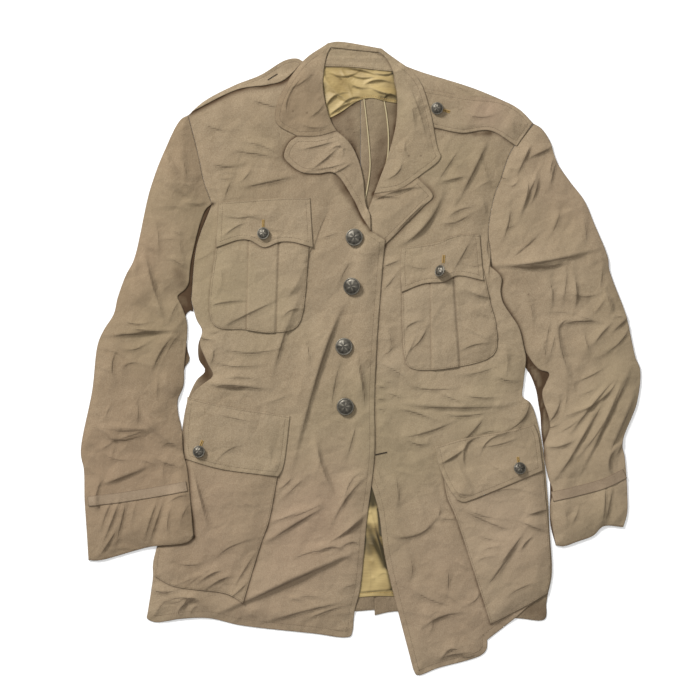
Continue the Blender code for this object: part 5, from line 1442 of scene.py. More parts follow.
@dataclass
class Panel:
    """One cut piece of cloth, laid on whatever is below it. Sizes are in mm."""

    name: str
    outline: str
    cloth: Cloth = Cloth.DRILL
    wall: float = 0.8
    puff: float = 0.0
    pitch: float = 2.0
    grain: float = 90.0
    drag: float = 20.0
    soft: float = 3.0
    crumple: float = 0.6
    tone: float = 0.0
    rose: float = 0.0
    # An even painted shade over the whole piece.
    shade: float = 0.0
    hold: Hold = Hold.LAID
    rests_on: tuple[str, ...] = ()
    seed: int = 1
    thread: str = "thread"

    def loop(self) -> np.ndarray:
        """Give the piece's closed outline."""
        return closed_loop(self.outline)

    def weave_at(self, points: np.ndarray) -> np.ndarray:
        """Give the weave's coordinates at plan points: along the weft, then the warp."""
        turn = math.radians(self.grain)
        warp = np.array((math.cos(turn), math.sin(turn)))
        weft = np.array((warp[1], -warp[0]))
        return np.stack([points @ weft, points @ warp], axis=1)

    def cut_size(self, loop: np.ndarray) -> tuple[tuple[float, float], float]:
        """Give the flat cut's width, length and area, in metres."""
        across = self.weave_at(loop)
        size = (across.max(axis=0) - across.min(axis=0)) * MM * SLACK_SIDE
        flat = (round(float(size[0]), 3), round(float(size[1]), 3))
        return flat, min(loop_area(loop) * SLACK_AREA * MM * MM, flat[0] * flat[1])

    def rise(self, patch: Patch, gap: np.ndarray) -> np.ndarray:
        """Give the height that the cloth has of its own: its soft rise, folds and pleats.

        Args:
            patch: the sheet's window of the relief map.
            gap: how far each cell is from the sheet's outline.

        Returns:
            The height over what it lies on.
        """
        wave = 0.8 + 0.25 * patch.wavy(self.seed, 120.0)
        own = self.puff * smooth_step(gap / PUFF_REACH) * wave
        own += patch.folds(self.name, self.seed + 40)
        calm = np.clip(0.75 + 0.5 * patch.wavy(self.seed + 5, 90.0), 0.15, 1.3)
        own += self.crumple * calm * smooth_step((gap + 3.0) / CRUMPLE_REACH) * sum(
            share * patch.crinkled(self.seed + k, length, self.drag + turn, stretch)
            for share, k, length, turn, stretch in CRINKLES)
        if self.name in PLEATS:
            own += patch.band(PLEATS[self.name])
        return 0.5 * (own + np.sqrt(own * own + 0.09)) - 0.15

    def seams(self, patch: Patch, held: np.ndarray) -> np.ndarray:
        """Give the low relief of its stitched rows: a ditch and puckers."""
        total = patch.blank()
        for words, inset in ROWS.get(self.name, ()):
            run = np.vstack([even_points(line(word), FINE_STEP) for word in words.split()])
            gap = patch.edge_gap(run)
            total -= DITCH_DEPTH * np.exp(-((gap - inset) / DITCH_WIDTH) ** 2)
            pucker = patch.wavy(self.seed + 23, 10.0) + 0.6 * patch.wavy(self.seed + 29, 6.0)
            total += PUCKER_RISE * pucker * np.exp(-((gap - inset) / PUCKER_WIDTH) ** 2)
        return np.where(held, total, 0.0)

    def plan_mesh(self, loop: np.ndarray) -> bmesh.types.BMesh:
        """Cut the flat piece from a grid, with its edge on the outline.

        Args:
            loop: the outline.

        Returns:
            The flat bmesh, in mm; a layer "rim" marks its edge.
        """
        low, high = loop.min(axis=0), loop.max(axis=0)
        count = np.ceil((high - low) / self.pitch).astype(int) + 1
        middle, size = (low + high) / 2, count * self.pitch
        mesh = bmesh.new()
        bmesh.ops.create_grid(
            mesh, x_segments=int(count[0]), y_segments=int(count[1]), size=0.5,
            matrix=Matrix.Translation((*middle, 0)) @ Matrix.Diagonal((*size, 1, 1)))
        centres = np.array([face.calc_center_median()[:2] for face in mesh.faces])
        held = inside_rows(centres[:, 0], centres[:, 1], loop)
        bmesh.ops.delete(mesh, geom=[f for f, keep in zip(mesh.faces[:], held) if not keep],
                         context="FACES")
        self.drop_pinches(mesh)
        rim = [v for v in mesh.verts if v.is_boundary]
        flat = np.array([v.co[:2] for v in rim])
        places = flat - nearest_leg(np.vstack([loop, loop[:1]]), flat)[2]
        for corner in sharp_corners(loop):
            places[np.argmin(((places - corner) ** 2).sum(axis=1))] = corner
        for vert, place in zip(rim, places):
            vert.co.x, vert.co.y = place
        ring, seen = set(rim), set(rim)
        for _ in range(3):
            ring = {e.other_vert(v) for v in ring for e in v.link_edges} - seen
            seen |= ring
        inner = list(seen - set(rim))
        for _ in range(4):
            bmesh.ops.smooth_vert(mesh, verts=inner, factor=0.5, use_axis_x=True,
                                  use_axis_y=True)
        bmesh.ops.inset_region(mesh, faces=mesh.faces[:], thickness=RIM_WIDTH,
                               use_boundary=True, use_even_offset=False)
        mark = mesh.verts.layers.float.new("rim")
        for vert in mesh.verts:
            vert[mark] = 1.0 if vert.is_boundary else 0.0
        return mesh

    @staticmethod
    def drop_pinches(mesh: bmesh.types.BMesh) -> None:
        """Take out loose scraps and places where two faces meet in one point only."""
        while True:
            mesh.verts.ensure_lookup_table()
            bad = [v for v in mesh.verts
                   if sum(e.is_boundary for e in v.link_edges) > 2 or not v.link_faces]
            if not bad:
                break
            bmesh.ops.delete(mesh, geom=bad, context="VERTS")
        left, best = set(mesh.faces), []
        while left:
            heap, found = [left.pop()], []
            while heap:
                face = heap.pop()
                found.append(face)
                for edge in face.edges:
                    for other in edge.link_faces:
                        if other in left:
                            left.discard(other)
                            heap.append(other)
            best = max(best, found, key=len)
        keep = set(best)
        scraps = [f for f in mesh.faces if f not in keep]
        bmesh.ops.delete(mesh, geom=scraps, context="FACES")

    def shell(self, loop: np.ndarray, patch: Patch, low: np.ndarray,
              top: np.ndarray) -> bmesh.types.BMesh:
        """Make the closed shell of the cloth between its two height maps.

        Args:
            loop: the outline.
            patch: the sheet's window.
            low: the height of its underside.
            top: the height of its face.

        Returns:
            The bmesh, in metres.
        """
        mesh = self.plan_mesh(loop)
        made = bmesh.ops.extrude_face_region(mesh, geom=mesh.faces[:], use_keep_orig=True)
        under = [g for g in made["geom"] if isinstance(g, bmesh.types.BMVert)]
        bmesh.ops.translate(mesh, vec=(0.0, 0.0, -1.0), verts=under)
        bmesh.ops.recalc_face_normals(mesh, faces=mesh.faces[:])
        mark = mesh.verts.layers.float["rim"]
        co = np.array([v.co[:] for v in mesh.verts])
        rim = np.array([v[mark] for v in mesh.verts])
        face = co[:, 2] > -0.5
        above = patch.read(top, co[:, 0], co[:, 1]) - rim * self.wall * RIM_DROP
        below = patch.read(low, co[:, 0], co[:, 1]) + rim * self.wall * RIM_LIFT
        z = np.where(face, above, below)
        for vert, x, y, height in zip(mesh.verts, co[:, 0] + SHIFT[0], co[:, 1] + SHIFT[1], z):
            vert.co = (x * MM, y * MM, height * MM)
        return mesh

    def mark(self, item: bpy.types.Object, patch: Patch, gap: np.ndarray) -> None:
        """Write the weave's coordinates and the tones that the finish reads, painted shade and painted
        crease lines among them.
        """
        data = item.data
        co = np.empty(len(data.vertices) * 3)
        data.vertices.foreach_get("co", co)
        plan = co.reshape(-1, 3)[:, :2] / MM - np.array(SHIFT)
        weave = self.weave_at(plan) * MM
        corner = np.empty(len(data.loops), dtype=np.int32)
        data.loops.foreach_get("vertex_index", corner)
        data.uv_layers.new(name="weave").data.foreach_set("uv", weave[corner].ravel())
        x, y = plan[:, 0], plan[:, 1]
        tone = self.tone + 0.08 * patch.read(patch.wavy(self.seed + 3, 150.0), x, y)
        rose = np.full(len(x), self.rose)
        # Tints, with painted highlights on the satin of the skirt lining.
        for sx, sy, radius, rosy, pale in TINTS_AND_HIGHLIGHTS.get(self.name, ()):
            near = np.exp(-(np.hypot(x - sx, y - sy) / radius) ** 2)
            rose += rosy * near
            tone += pale * near
        shade = self.shades(patch, plan)
        # The "shade" and "crease" fields carry painted shade, which darkens the colour.
        for name, values in (("edge", patch.read(gap, x, y)), ("tone", tone), ("rose", rose),
                             ("shade", shade), ("crease", patch.read(patch.crease_shade, x, y))):
            data.attributes.new(name, "FLOAT", "POINT").data.foreach_set(
                "value", values.astype(np.float32))

    def shades(self, patch: Patch, plan: np.ndarray) -> np.ndarray:
        """Give how much painted shade each plan point gets.

        Args:
            patch: the sheet's window.
            plan: the points.

        Returns:
            One share for each point; it may pass 0 and 1.
        """
        shade = np.full(len(plan), self.shade)
        for x0, y0, x1, y1, width, strength in SHADES.get(self.name, ()):
            way = np.array((x1 - x0, y1 - y0)) + 1e-6
            share = np.clip((plan - (x0, y0)) @ way / (way @ way), 0.0, 1.0)
            off = plan - (x0, y0) - share[:, None] * way
            shade += strength * np.exp(-(off ** 2).sum(axis=1) / width ** 2)
        for word, width, strength in EDGE_SHADES.get(self.name, ()):
            far = patch.read(patch.edge_gap(even_points(line(word), FINE_STEP)), *plan.T)
            shade += strength * np.exp(-(far / width) ** 2)
        if self.name in PLEATS:
            for far in PLEATS[self.name].gaps(*plan.T):
                shade += PLEAT_SHADE * np.exp(-((far + PLEAT_OUT) / PLEAT_LINE) ** 2)
        return shade * (0.95 + 0.3 * patch.read(patch.wavy(self.seed + 31, 30.0), *plan.T))

    def stitch(self, shop: Shop, patch: Patch, held: np.ndarray,
               top: np.ndarray) -> bpy.types.Object | None:
        """Sew the sheet's rows of stitches.

        Args:
            shop: the table.
            patch: the sheet's window.
            held: its cells.
            top: the height of its face.

        Returns:
            The thread, or None where it has no rows.
        """
        mesh = bmesh.new()
        inner = patch.blank() + held
        for words, inset in ROWS.get(self.name, ()):
            whole = np.vstack([even_points(line(word), 1.0) for word in self.outline.split()])
            for word in words.split():
                run = even_points(line(word, 1.0), STITCH_PACE)
                way = ways(run)
                side = left_of(way) * inset
                hands = [patch.read(inner, *(run + s * side).T).mean() for s in (1, -1)]
                row = run + side * (1 if hands[0] >= hands[1] else -1)
                clear = np.array([np.hypot(*(whole - p).T).min() for p in row])
                for (x, y), (dx, dy) in zip(row[clear > inset * 0.86],
                                            way[clear > inset * 0.86]):
                    if patch.read(inner, np.array([x]), np.array([y]))[0] < 0.99:
                        continue
                    z = patch.read(top, np.array([x, x + dx, x - dy]),
                                   np.array([y, y + dy, y + dx]))
                    along, across = Vector((dx, dy, z[1] - z[0])), Vector((-dy, dx, z[2] - z[0]))
                    bar(mesh, Vector((x, y, z[0] - STITCH_SINK)), along, along.cross(across),
                        STITCH_SIZE)
        if not mesh.verts:
            mesh.free()
            return None
        thread = getattr(shop.wardrobe, self.thread)
        item = put_on_table(mesh, f"{self.name}_stitching", [thread])
        return shop.keep(item, self.cloth)

    def build(self, shop: Shop) -> None:
        loop = self.loop()
        patch = shop.relief.patch(loop)
        held = patch.mask(loop)
        gap = np.where(held, patch.edge_gap(even_points(loop, FINE_STEP, closed=True)), 0.0)
        low = patch.drape(held, self.soft) + self.rise(patch, gap)
        top = low + self.wall + self.seams(patch, held)
        patch.stack[held] = top[held]
        low, top = patch.spread(low, held), patch.spread(top, held)
        item = put_on_table(self.shell(loop, patch, low, top), f"{self.name}_cloth",
                            [shop.wardrobe.by_cloth[self.cloth]])
        self.mark(item, patch, gap)
        shop.keep(item, self.cloth, self.name)
        sewn = self.stitch(shop, patch, held, top)
        flat, area = self.cut_size(loop)


@dataclass
class Strip(Panel):
    """A narrow woven strip on a centre line."""

    width: float = 13.0

    def centre(self) -> np.ndarray:
        """Give its centre line."""
        return smooth_line(STRIPS[self.name], LINE_STEP)

    def loop(self) -> np.ndarray:
        """Give the strip's closed outline."""
        run = self.centre()
        side = left_of(ways(run)) * self.width / 2
        loop = np.vstack([run + side, (run - side)[::-1]])
        return loop if loop_area(loop) > 0 else loop[::-1]

    def weave_at(self, points: np.ndarray) -> np.ndarray:
        """Give the weave's coordinates: along the strip, then across it."""
        run = even_points(self.centre(), 1.0)
        along = np.diff(run, axis=0)
        length = np.linalg.norm(along, axis=1)
        start = np.concatenate([[0.0], np.cumsum(length)])[:-1]
        best, share, off = nearest_leg(run, points)
        way = along[best] / length[best, None]
        return np.stack([start[best] + share * length[best],
                         way[:, 0] * off[:, 1] - way[:, 1] * off[:, 0]], axis=1)


class Assembly:
    """A part of the tunic that is made of panels."""

    def panels(self) -> list[Panel]:
        """Give its panels from the lowest up."""
        raise NotImplementedError

    def build(self, shop: Shop) -> None:
        """Lay and dress its panels in order."""
        for panel in self.panels():
            panel.build(shop)


@dataclass
class Sleeve(Assembly):
    """A sleeve pressed flat: its under panel, its top panel and the braid round its cuff."""

    side: str
    grain: float
    tone: float
    rose: float
    pit: str = ""
    wall: float = 0.8
    under_wall: float = 0.8
    braid_wall: float = 0.6
    rise: float = 2.6
    pitch: float = 2.0

    def panels(self) -> list[Panel]:
        """Give its panels from the lowest up."""
        s = self.side
        edge = f"sleeve_outer_{s} cuff_{s}"
        return [
            # The under panel's lower tone and even shade are painted shade, for the shade between the top
            # panel and the body.
            Panel(f"sleeve_{s}_under", f"{edge} under_inner_{s}{self.pit} -armhole_{s}",
                  wall=self.under_wall, pitch=4.0, grain=self.grain, tone=self.tone - 0.1,
                  seed=11, shade=0.4),
            Panel(f"sleeve_{s}_top", f"{edge} sleeve_inner_{s} -armhole_{s}", wall=self.wall,
                  crumple=0.85, drag=self.grain - 80.0, puff=self.rise, pitch=self.pitch,
                  grain=self.grain, tone=self.tone, rose=self.rose,
                  rests_on=(f"sleeve_{s}_under",), seed=13),
            Strip(f"cuff_braid_{s}", "", cloth=Cloth.BRAID, wall=self.braid_wall, pitch=1.5,
                  soft=1.5, crumple=0.05, rests_on=(f"sleeve_{s}_top",), seed=17),
        ]


@dataclass
class Back(Assembly):
    """The two back panels, face down, whose insides show at the neck and the open edges."""

    wall: float = 0.8
    pitch: float = 4.0

    def panels(self) -> list[Panel]:
        """Give its panels from the lowest up."""
        return [
            Panel("back_left", "back_shoulder_left armhole_left side_left back_hem_left "
                  "back_centre_left", cloth=Cloth.INSIDE, wall=self.wall, pitch=self.pitch,
                  rests_on=("sleeve_left_top",), seed=21, crumple=0.2),
            Panel("back_right", "back_shoulder_right armhole_right side_right_arm "
                  "side_right back_hem_right back_centre", cloth=Cloth.INSIDE, wall=self.wall,
                  pitch=self.pitch, rests_on=("back_left",), seed=22, crumple=0.2),
        ]


@dataclass
class Lining(Assembly):
    """The satin at the neck and in the skirt's slit, with seam tapes and the collar's stand."""

    wall: float = 0.5
    tape_width: float = 2.4
    stand_wall: float = 0.8

    def panels(self) -> list[Panel]:
        """Give its panels from the lowest up."""
        satin = {"cloth": Cloth.SATIN, "wall": self.wall, "pitch": 1.1, "soft": 2.0,
                 "crumple": 0.7, "thread": "gold"}
        return [
            Strip("seam_tape_right", "", cloth=Cloth.TAPE, wall=self.wall, pitch=1.2,
                  width=self.tape_width, soft=1.2, crumple=0.0, seed=31),
            Strip("seam_tape_left", "", cloth=Cloth.TAPE, wall=self.wall, pitch=1.2,
                  width=self.tape_width, soft=1.2, crumple=0.0, seed=32),
            Panel("neck_lining", "yoke_top yoke_left yoke_edge yoke_right",
                  rests_on=("back_left", "back_right"), seed=33, puff=1.2, **satin),
            Panel("collar_stand", "stand_top stand_left stand_edge stand_right",
                  wall=self.stand_wall, pitch=1.4, soft=1.5, crumple=0.12,
                  rests_on=("neck_lining",), seed=34),
            Panel("skirt_lining", "slit_top slit_left slit_hem slit_right",
                  rests_on=("back_left", "back_right"), seed=35, puff=1.4, **satin),
        ]


@dataclass
class Fronts(Assembly):
    """The front panels: the buttonhole side with its lapel, and the button side on both."""

    wall: float = 0.8
    rise: float = 2.4
    pitch: float = 2.2

    def panels(self) -> list[Panel]:
        """Give its panels from the lowest up."""
        shape = {"wall": self.wall, "puff": self.rise, "pitch": self.pitch, "soft": 4.0,
                 "crumple": 0.7}
        return [
            Panel("front_left", "shoulder_left armhole_left side_left hem_left "
                  "hem_front_left edge_left roll_left neck_left",
                  rests_on=("back_left", "skirt_lining"), seed=41, tone=-0.02, **shape),
            Panel("lapel_left", "lapel_edge_left roll_left -gorge_left", wall=0.9, pitch=1.4,
                  crumple=0.25, puff=0.9, rests_on=("front_left",), seed=72, rose=0.06),
            Panel("front_right", "shoulder_right armhole_right side_right_arm "
                  "front_side_right hem_right edge_right top_right roll_right neck_right",
                  rests_on=("back_right", "front_left", "lapel_left"), seed=42, tone=0.02, **shape),
        ]


@dataclass
class Pockets(Assembly):
    """The four patch pockets with their flaps."""

    bag_wall: float = 0.7
    flap_wall: float = 0.9
    breast_rise: float = 1.5
    skirt_rise: float = 2.6

    def panels(self) -> list[Panel]:
        """Give its panels from the lowest up."""
        made = []
        for s, front in (("right", "front_right"), ("left", "front_left")):
            made.append(Panel(f"breast_pocket_{s}", f"bp{s[0]}_bag bp{s[0]}_bag_top",
                              wall=self.bag_wall, puff=self.breast_rise, pitch=1.5,
                              crumple=0.35, rests_on=(front,), seed=50 + len(s), tone=0.06))
        for s, words in (("right", "top front scallop side"), ("left", "top side scallop front")):
            edge = " ".join(f"bp{s[0]}_flap_{word}" for word in words.split())
            made.append(Panel(f"breast_flap_{s}", edge, wall=self.flap_wall, puff=0.9,
                              pitch=1.3, rests_on=(f"breast_pocket_{s}",),
                              seed=54 + len(s), tone=0.06, crumple=0.2))
        for s, front in (("right", "front_right"), ("left", "front_left")):
            edge = " ".join(f"sp{s[0]}_bag_{word}" for word in ("front", "lower", "side", "top"))
            made.append(Panel(f"skirt_pocket_{s}", edge, wall=self.bag_wall,
                              puff=self.skirt_rise, pitch=1.8, rests_on=(front,),
                              crumple=0.45, seed=60 + len(s), tone=0.06))
        for s, words in (("right", "top front lower side"), ("left", "top side lower front")):
            edge = " ".join(f"sp{s[0]}_flap_{word}" for word in words.split())
            made.append(Panel(f"skirt_flap_{s}", edge, wall=self.flap_wall, puff=0.9,
                              pitch=1.4, rests_on=(f"skirt_pocket_{s}",), seed=64 + len(s),
                              tone=0.04, crumple=0.2))
        return made


@dataclass
class Neck(Assembly):
    """The button side's lapel, the shoulder straps and the turned-down collar over them."""

    wall: float = 0.9
    pitch: float = 1.4

    def panels(self) -> list[Panel]:
        """Give its panels from the lowest up."""
        shape = {"wall": self.wall, "pitch": self.pitch, "crumple": 0.25}
        return [
            Panel("lapel_right", "gorge_right lapel_edge_right roll_right", puff=0.9,
                  rests_on=("front_right",), seed=71, rose=0.06, **shape),
            Panel("shoulder_strap_right", "strap_right strap_right_lower", puff=0.6,
                  rests_on=("front_right",), seed=73, grain=23.0, **shape),
            Panel("shoulder_strap_left", "strap_left_upper strap_left_end "
                  "strap_left_lower strap_left_tip", puff=0.6, rests_on=("front_left",),
                  seed=74, grain=168.0, **shape),
            Panel("collar", "collar_roll_right gorge_right collar_edge_right collar_top "
                  "collar_edge_left gorge_left collar_roll_left collar_back_roll", puff=1.4,
                  rests_on=("lapel_right", "lapel_left", "collar_stand"), seed=75,
                  grain=60.0, hold=Hold.FOLDED, **shape),
        ]


@dataclass(frozen=True)
class ButtonSeat:
    """Where a button is sewn, its radius, and how far it leans and which way, in degrees."""

    name: str
    x: float
    y: float
    radius: float
    lean: float
    turn: float


BUTTONS: tuple[ButtonSeat, ...] = (
    ButtonSeat("button_front_1", -8.3, 157.3, 11.4, 0, 0),
    ButtonSeat("button_front_2", -11.2, 93.7, 11.4, 6, 200),
    ButtonSeat("button_front_3", -21.6, 15.1, 11.4, 5, 150),
    ButtonSeat("button_front_4", -20.0, -62.7, 11.4, 5, 190),
    ButtonSeat("button_breast_right", -126.6, 161.9, 8.0, 5, 180),
    ButtonSeat("button_breast_left", 104.0, 112.8, 8.0, 42, 165),
    ButtonSeat("button_skirt_right", -210.3, -121.5, 8.0, 6, 120),
    ButtonSeat("button_skirt_left", 206.2, -143.0, 8.0, 8, 60),
    ButtonSeat("button_strap_left", 99.5, 324.9, 8.0, 10, 200),
)


@dataclass
class Buttons:
    """The shank buttons: a domed disc with a rolled rim and a plain rosette."""

    shank: float = 1.6
    shank_radius: float = 1.9
    clear: float = 0.1
    petals: int = 5
    petal_end: float = 0.62
    petal_rise: float = 0.3
    leaf_rise: float = 0.12
    thick: float = 2.4
    dome: float = 1.5
    sides: int = 40

    def half_section(self, radius: float) -> list[tuple[float, float]]:
        """Give a button's half section, from the shank's foot to the dome's middle."""
        z, t, d = self.shank, self.thick, self.dome
        return [(0.0, 0.0), (self.shank_radius, 0.0), (self.shank_radius, z),
                (radius * 0.82, z), (radius * 0.95, z + t * 0.18), (radius, z + t * 0.45),
                (radius * 0.985, z + t * 0.72), (radius * 0.93, z + t * 0.86),
                (radius * 0.87, z + t * 0.78), (radius * 0.83, z + t * 0.74),
                (radius * 0.78, z + t * 0.8), (radius * 0.68, z + t + d * 0.3),
                (radius * 0.56, z + t + d * 0.52), (radius * 0.42, z + t + d * 0.72),
                (radius * 0.27, z + t + d * 0.88), (radius * 0.13, z + t + d * 0.97),
                (0.0, z + t + d)]

    def turned(self, radius: float) -> bmesh.types.BMesh:
        """Turn one button from its half section, with its relief."""
        mesh = bmesh.new()
        section = [mesh.verts.new((r, 0.0, z)) for r, z in self.half_section(radius)]
        edges = [mesh.edges.new(pair) for pair in zip(section, section[1:])]
        bmesh.ops.spin(mesh, geom=section + edges, cent=(0, 0, 0), axis=(0, 0, 1),
                       angle=2 * math.pi, steps=self.sides, use_merge=True)
        bmesh.ops.remove_doubles(mesh, verts=mesh.verts[:], dist=0.01)
        bmesh.ops.recalc_face_normals(mesh, faces=mesh.faces[:])
        proud = mesh.verts.layers.float.new("proud")
        for vert in mesh.verts:
            away = vert.co.xy.length / radius
            angle = math.atan2(vert.co.y, vert.co.x)
            if vert.co.z > self.shank + self.thick * 0.5:
                end = self.petal_end
                petal = math.cos(self.petals * angle) * math.sin(min(1.0, away / end) * math.pi)
                leaf = 0.5 + 0.5 * math.cos(2 * self.petals * angle) if end < away < 0.8 else 0.0
                lift = self.petal_rise * max(0.0, petal) * (away < end) + self.leaf_rise * leaf
                vert.co.z += lift
                vert[proud] = min(1.0, lift * 2.6 + (0.7 if 0.9 < away < 1.0 else 0.0))
        return mesh

    def seat(self, shop: Shop, row: ButtonSeat, mesh: bmesh.types.BMesh) -> None:
        """Stand a turned button square to its cloth and clear of all of it."""
        slope = shop.slope_at(row.x, row.y, 5.0)
        lean, turn = math.radians(row.lean), math.radians(row.turn)
        axis = slope * math.cos(lean) + Vector((math.cos(turn), math.sin(turn), 0.0)) \
            * math.sin(lean)
        matrix = axis.to_track_quat("Z", "Y").to_matrix().to_4x4()
        bmesh.ops.transform(mesh, matrix=matrix, verts=mesh.verts[:])
        rise = max(shop.top_of(v.co.x + row.x, v.co.y + row.y) - v.co.z for v in mesh.verts)
        place = Matrix.Translation((row.x + SHIFT[0], row.y + SHIFT[1], rise + self.clear))
        bmesh.ops.transform(mesh, matrix=Matrix.Scale(MM, 4) @ place, verts=mesh.verts[:])

    def build(self, shop: Shop) -> None:
        """Turn, seat and dress every button."""
        for row in BUTTONS:
            mesh = self.turned(row.radius)
            self.seat(shop, row, mesh)
            item = put_on_table(mesh, f"{row.name}_turned",
                                [shop.wardrobe.by_cloth[Cloth.METAL]])
            shop.keep(item, Cloth.METAL, row.name)


@dataclass(frozen=True)
class Hole:
    """A worked buttonhole or a bar of stitches, from end to end in mm."""

    name: str
    x0: float
    y0: float
    x1: float
    y1: float
    width: float
    thread: str


# A "slit" thread lays dark thread in the opening as painted shade.
HOLES: tuple[Hole, ...] = (
    Hole("lapel_eye_right", -127.0, 180.0, -127.0, 171.0, 3.2, "gold"),
    Hole("breast_left_eye", 108.0, 134.0, 107.0, 124.0, 3.4, "gold"),
    Hole("skirt_right_eye", -206.0, -107.0, -208.5, -114.0, 3.4, "gold"),
    Hole("skirt_left_eye", 204.0, -128.5, 205.0, -135.0, 3.4, "gold"),
    Hole("strap_left_eye", 106.6, 323.0, 115.5, 320.5, 3.4, "gold"),
    Hole("strap_right_slot", -121.0, 362.6, -109.0, 370.5, 1.6, "slit"),
    Hole("edge_left_eye", 18.9, -125.5, 33.8, -122.2, 1.7, "slit"),
)


@dataclass
class Buttonholes:
    """Buttonholes worked in thread: short bars on both sides of a slit, where dark thread is painted
    shade.
    """

    bar_width: float = 0.62
    bar_height: float = 0.5
    pace: float = 0.8

    def work(self, shop: Shop, row: Hole) -> tuple[bmesh.types.BMesh, bmesh.types.BMesh]:
        """Lay the bars of one buttonhole and the dark thread in its slit, which is painted shade."""
        a, b = Vector((row.x0, row.y0)), Vector((row.x1, row.y1))
        way = (b - a).normalized()
        side = Vector((-way.y, way.x))
        bars, slit = bmesh.new(), bmesh.new()
        count = max(2, int((b - a).length / self.pace))
        for k in range(count + 1):
            middle = a.lerp(b, k / count)
            for hand in (-1, 1):
                spot = middle + side * hand * row.width * 0.3
                up = shop.slope_at(spot.x, spot.y, 1.5)
                bar(bars, Vector((spot.x, spot.y, shop.top_of(spot.x, spot.y) + 0.15)),
                    Vector((side.x, side.y, 0.0)) * hand, up,
                    (row.width * 0.42, self.bar_width, self.bar_height))
        # Painted shade: dark thread laid in the slit stands for the shade inside it.
        for k in range(count):
            middle = a.lerp(b, (k + 0.5) / count)
            bar(slit, Vector((middle.x, middle.y, shop.top_of(middle.x, middle.y) + 0.08)),
                Vector((way.x, way.y, 0.0)), shop.slope_at(middle.x, middle.y, 1.5),
                (self.pace * 1.2, row.width * 0.2, 0.3))
        return bars, slit

    def build(self, shop: Shop) -> None:
        """Work and dress every buttonhole."""
        for row in HOLES:
            bars, slit = self.work(shop, row)
            item = put_on_table(bars, f"{row.name}_thread", [getattr(shop.wardrobe, row.thread)])
            shop.keep(item, Cloth.DRILL)
            item = put_on_table(slit, f"{row.name}_slit", [shop.wardrobe.slit])
            shop.keep(item, Cloth.DRILL)


# Painted shade in deep places and beside edges, and a few pin holes, by sheet: the dark line's two ends,
# its width and its strength.
SHADES: dict[str, Table] = {
    "sleeve_right_under": (
        (-226, 130, -226, 20, 16, 0.3), (-229, 86, -226, 66, 9, 0.5), (-222, 100, -219, 60, 3, 0.9),
    ),
    "sleeve_left_under": ((200, 60, 232, -60, 14, 0.3), (239, -8, 239, -41, 6, 0.6)),
    "back_right": (
        (-45, 320, -20, 250, 22, 0.25), (-14, 310, -8, 262, 5, 0.35), (-212, 30, -200, -20, 14, 1),
    ),
    "back_left": ((45, 330, 18, 230, 12, 0.5), (214, -320, 240, -330, 14, 0.45)),
    "front_left": ((147, 292, 168, 292, 3, 0.7),),
    "front_right": ((-34, 235, 5, 177, 4, 0.5),),
    "lapel_left": ((12, 212, 27, 210, 3, 0.6),),
    "neck_lining": ((27, 340, 43, 340, 4, 0.6), (-48, 356, -45, 321, 3, 0.5)),
    "collar": (
        (-88.4, 321.8, -88.4, 321.8, 1.1, 1), (-70.2, 319.2, -70.2, 319.2, 1.1, 0.8),
        (62.4, 263.3, 62.4, 263.3, 1.1, 0.9), (78, 263.3, 78, 263.3, 1.1, 0.9),
    ),
    "sleeve_left_top": ((217.8, 83, 217.8, 83, 1.3, 1),),
    "skirt_lining": (
        (12, -164, 16, -190, 6, 0.9), (23.4, -197, 26, -229, 2.4, 1.6), (10, -219, 31, -270, 4.5, 1),
        (18, -222, 32, -257, 1.6, 0.6), (7, -236, 12, -252, 6, 0.6), (1, -305, 40, -301, 1.3, 0.6),
        (33, -268, 39, -300, 2, 0.5),
    ),
    "sleeve_right_top": ((-238, 113, -232, 96, 9, 0.35),),
}

# Painted shade lines beside what lies on a sheet, by sheet: the outline line, its width and strength.
EDGE_SHADES: dict[str, tuple[tuple[str, float, float], ...]] = {
    "front_right": (
        ("strap_right_lower", 4.5, 1.1), ("strap_right", 1.6, 0.3), ("spr_bag_front", 2, 0.7),
        ("spr_bag_lower", 1.6, 0.4), ("bpr_bag", 1.4, 0.35), ("lapel_edge_right", 4, 0.45),
        ("lapel_edge_right", 1.6, 0.6), ("sleeve_inner_right", 3, 0.8), ("cuff_right", 2.5, 0.7),
    ),
    "front_left": (
        ("strap_left_lower", 2.4, 0.6), ("strap_left_end", 2, 0.5), ("edge_right", 1.8, 0.45),
        ("spl_bag_front", 2, 0.7), ("spl_bag_lower", 1.6, 0.4), ("bpl_bag", 1.4, 0.35),
        ("lapel_edge_left", 4, 0.55),
    ),
    "lapel_left": (("top_right", 2, 0.4), ("gorge_left", 1.6, 0.4)),
    "lapel_right": (("gorge_right", 1.6, 0.4),),
    "back_left": (("collar_roll_left", 2.5, 0.8), ("roll_left", 3, 0.6)),
    "neck_lining": (("collar_roll_left", 2.5, 0.8), ("stand_edge", 2, 0.5)),
    "collar_stand": (("collar_roll_left", 2.5, 0.5),),
    "back_right": (("yoke_edge", 5, 0.75), ("roll_right", 3, 0.6)),
    "skirt_pocket_right": (
        ("sleeve_inner_right", 3, 0.8), ("cuff_right", 2.5, 0.7), ("spr_flap_lower", 2, 0.45),
    ),
    "skirt_flap_right": (("sleeve_inner_right", 3, 0.8),),
    "breast_pocket_right": (("bpr_flap_scallop", 2, 0.6),),
    "breast_pocket_left": (("bpl_flap_scallop", 2, 0.6),),
    "skirt_pocket_left": (("spl_flap_lower", 2, 0.45),),
    "sleeve_right_top": (("cuff_right", 1.5, 0.3),),
    "sleeve_left_top": (("cuff_left", 1.5, 0.3), ("side_left", 3, 0.9)),
    "skirt_lining": (("edge_right", 1.6, 0.4), ("edge_left", 1.6, 0.5)),
    "sleeve_right_under": (("side_right_arm", 4, 0.9), ("sleeve_inner_right", 2.5, 0.5)),
    "sleeve_left_under": (("under_inner_left", 2.5, 0.9), ("sleeve_inner_left", 2.5, 0.5)),
}
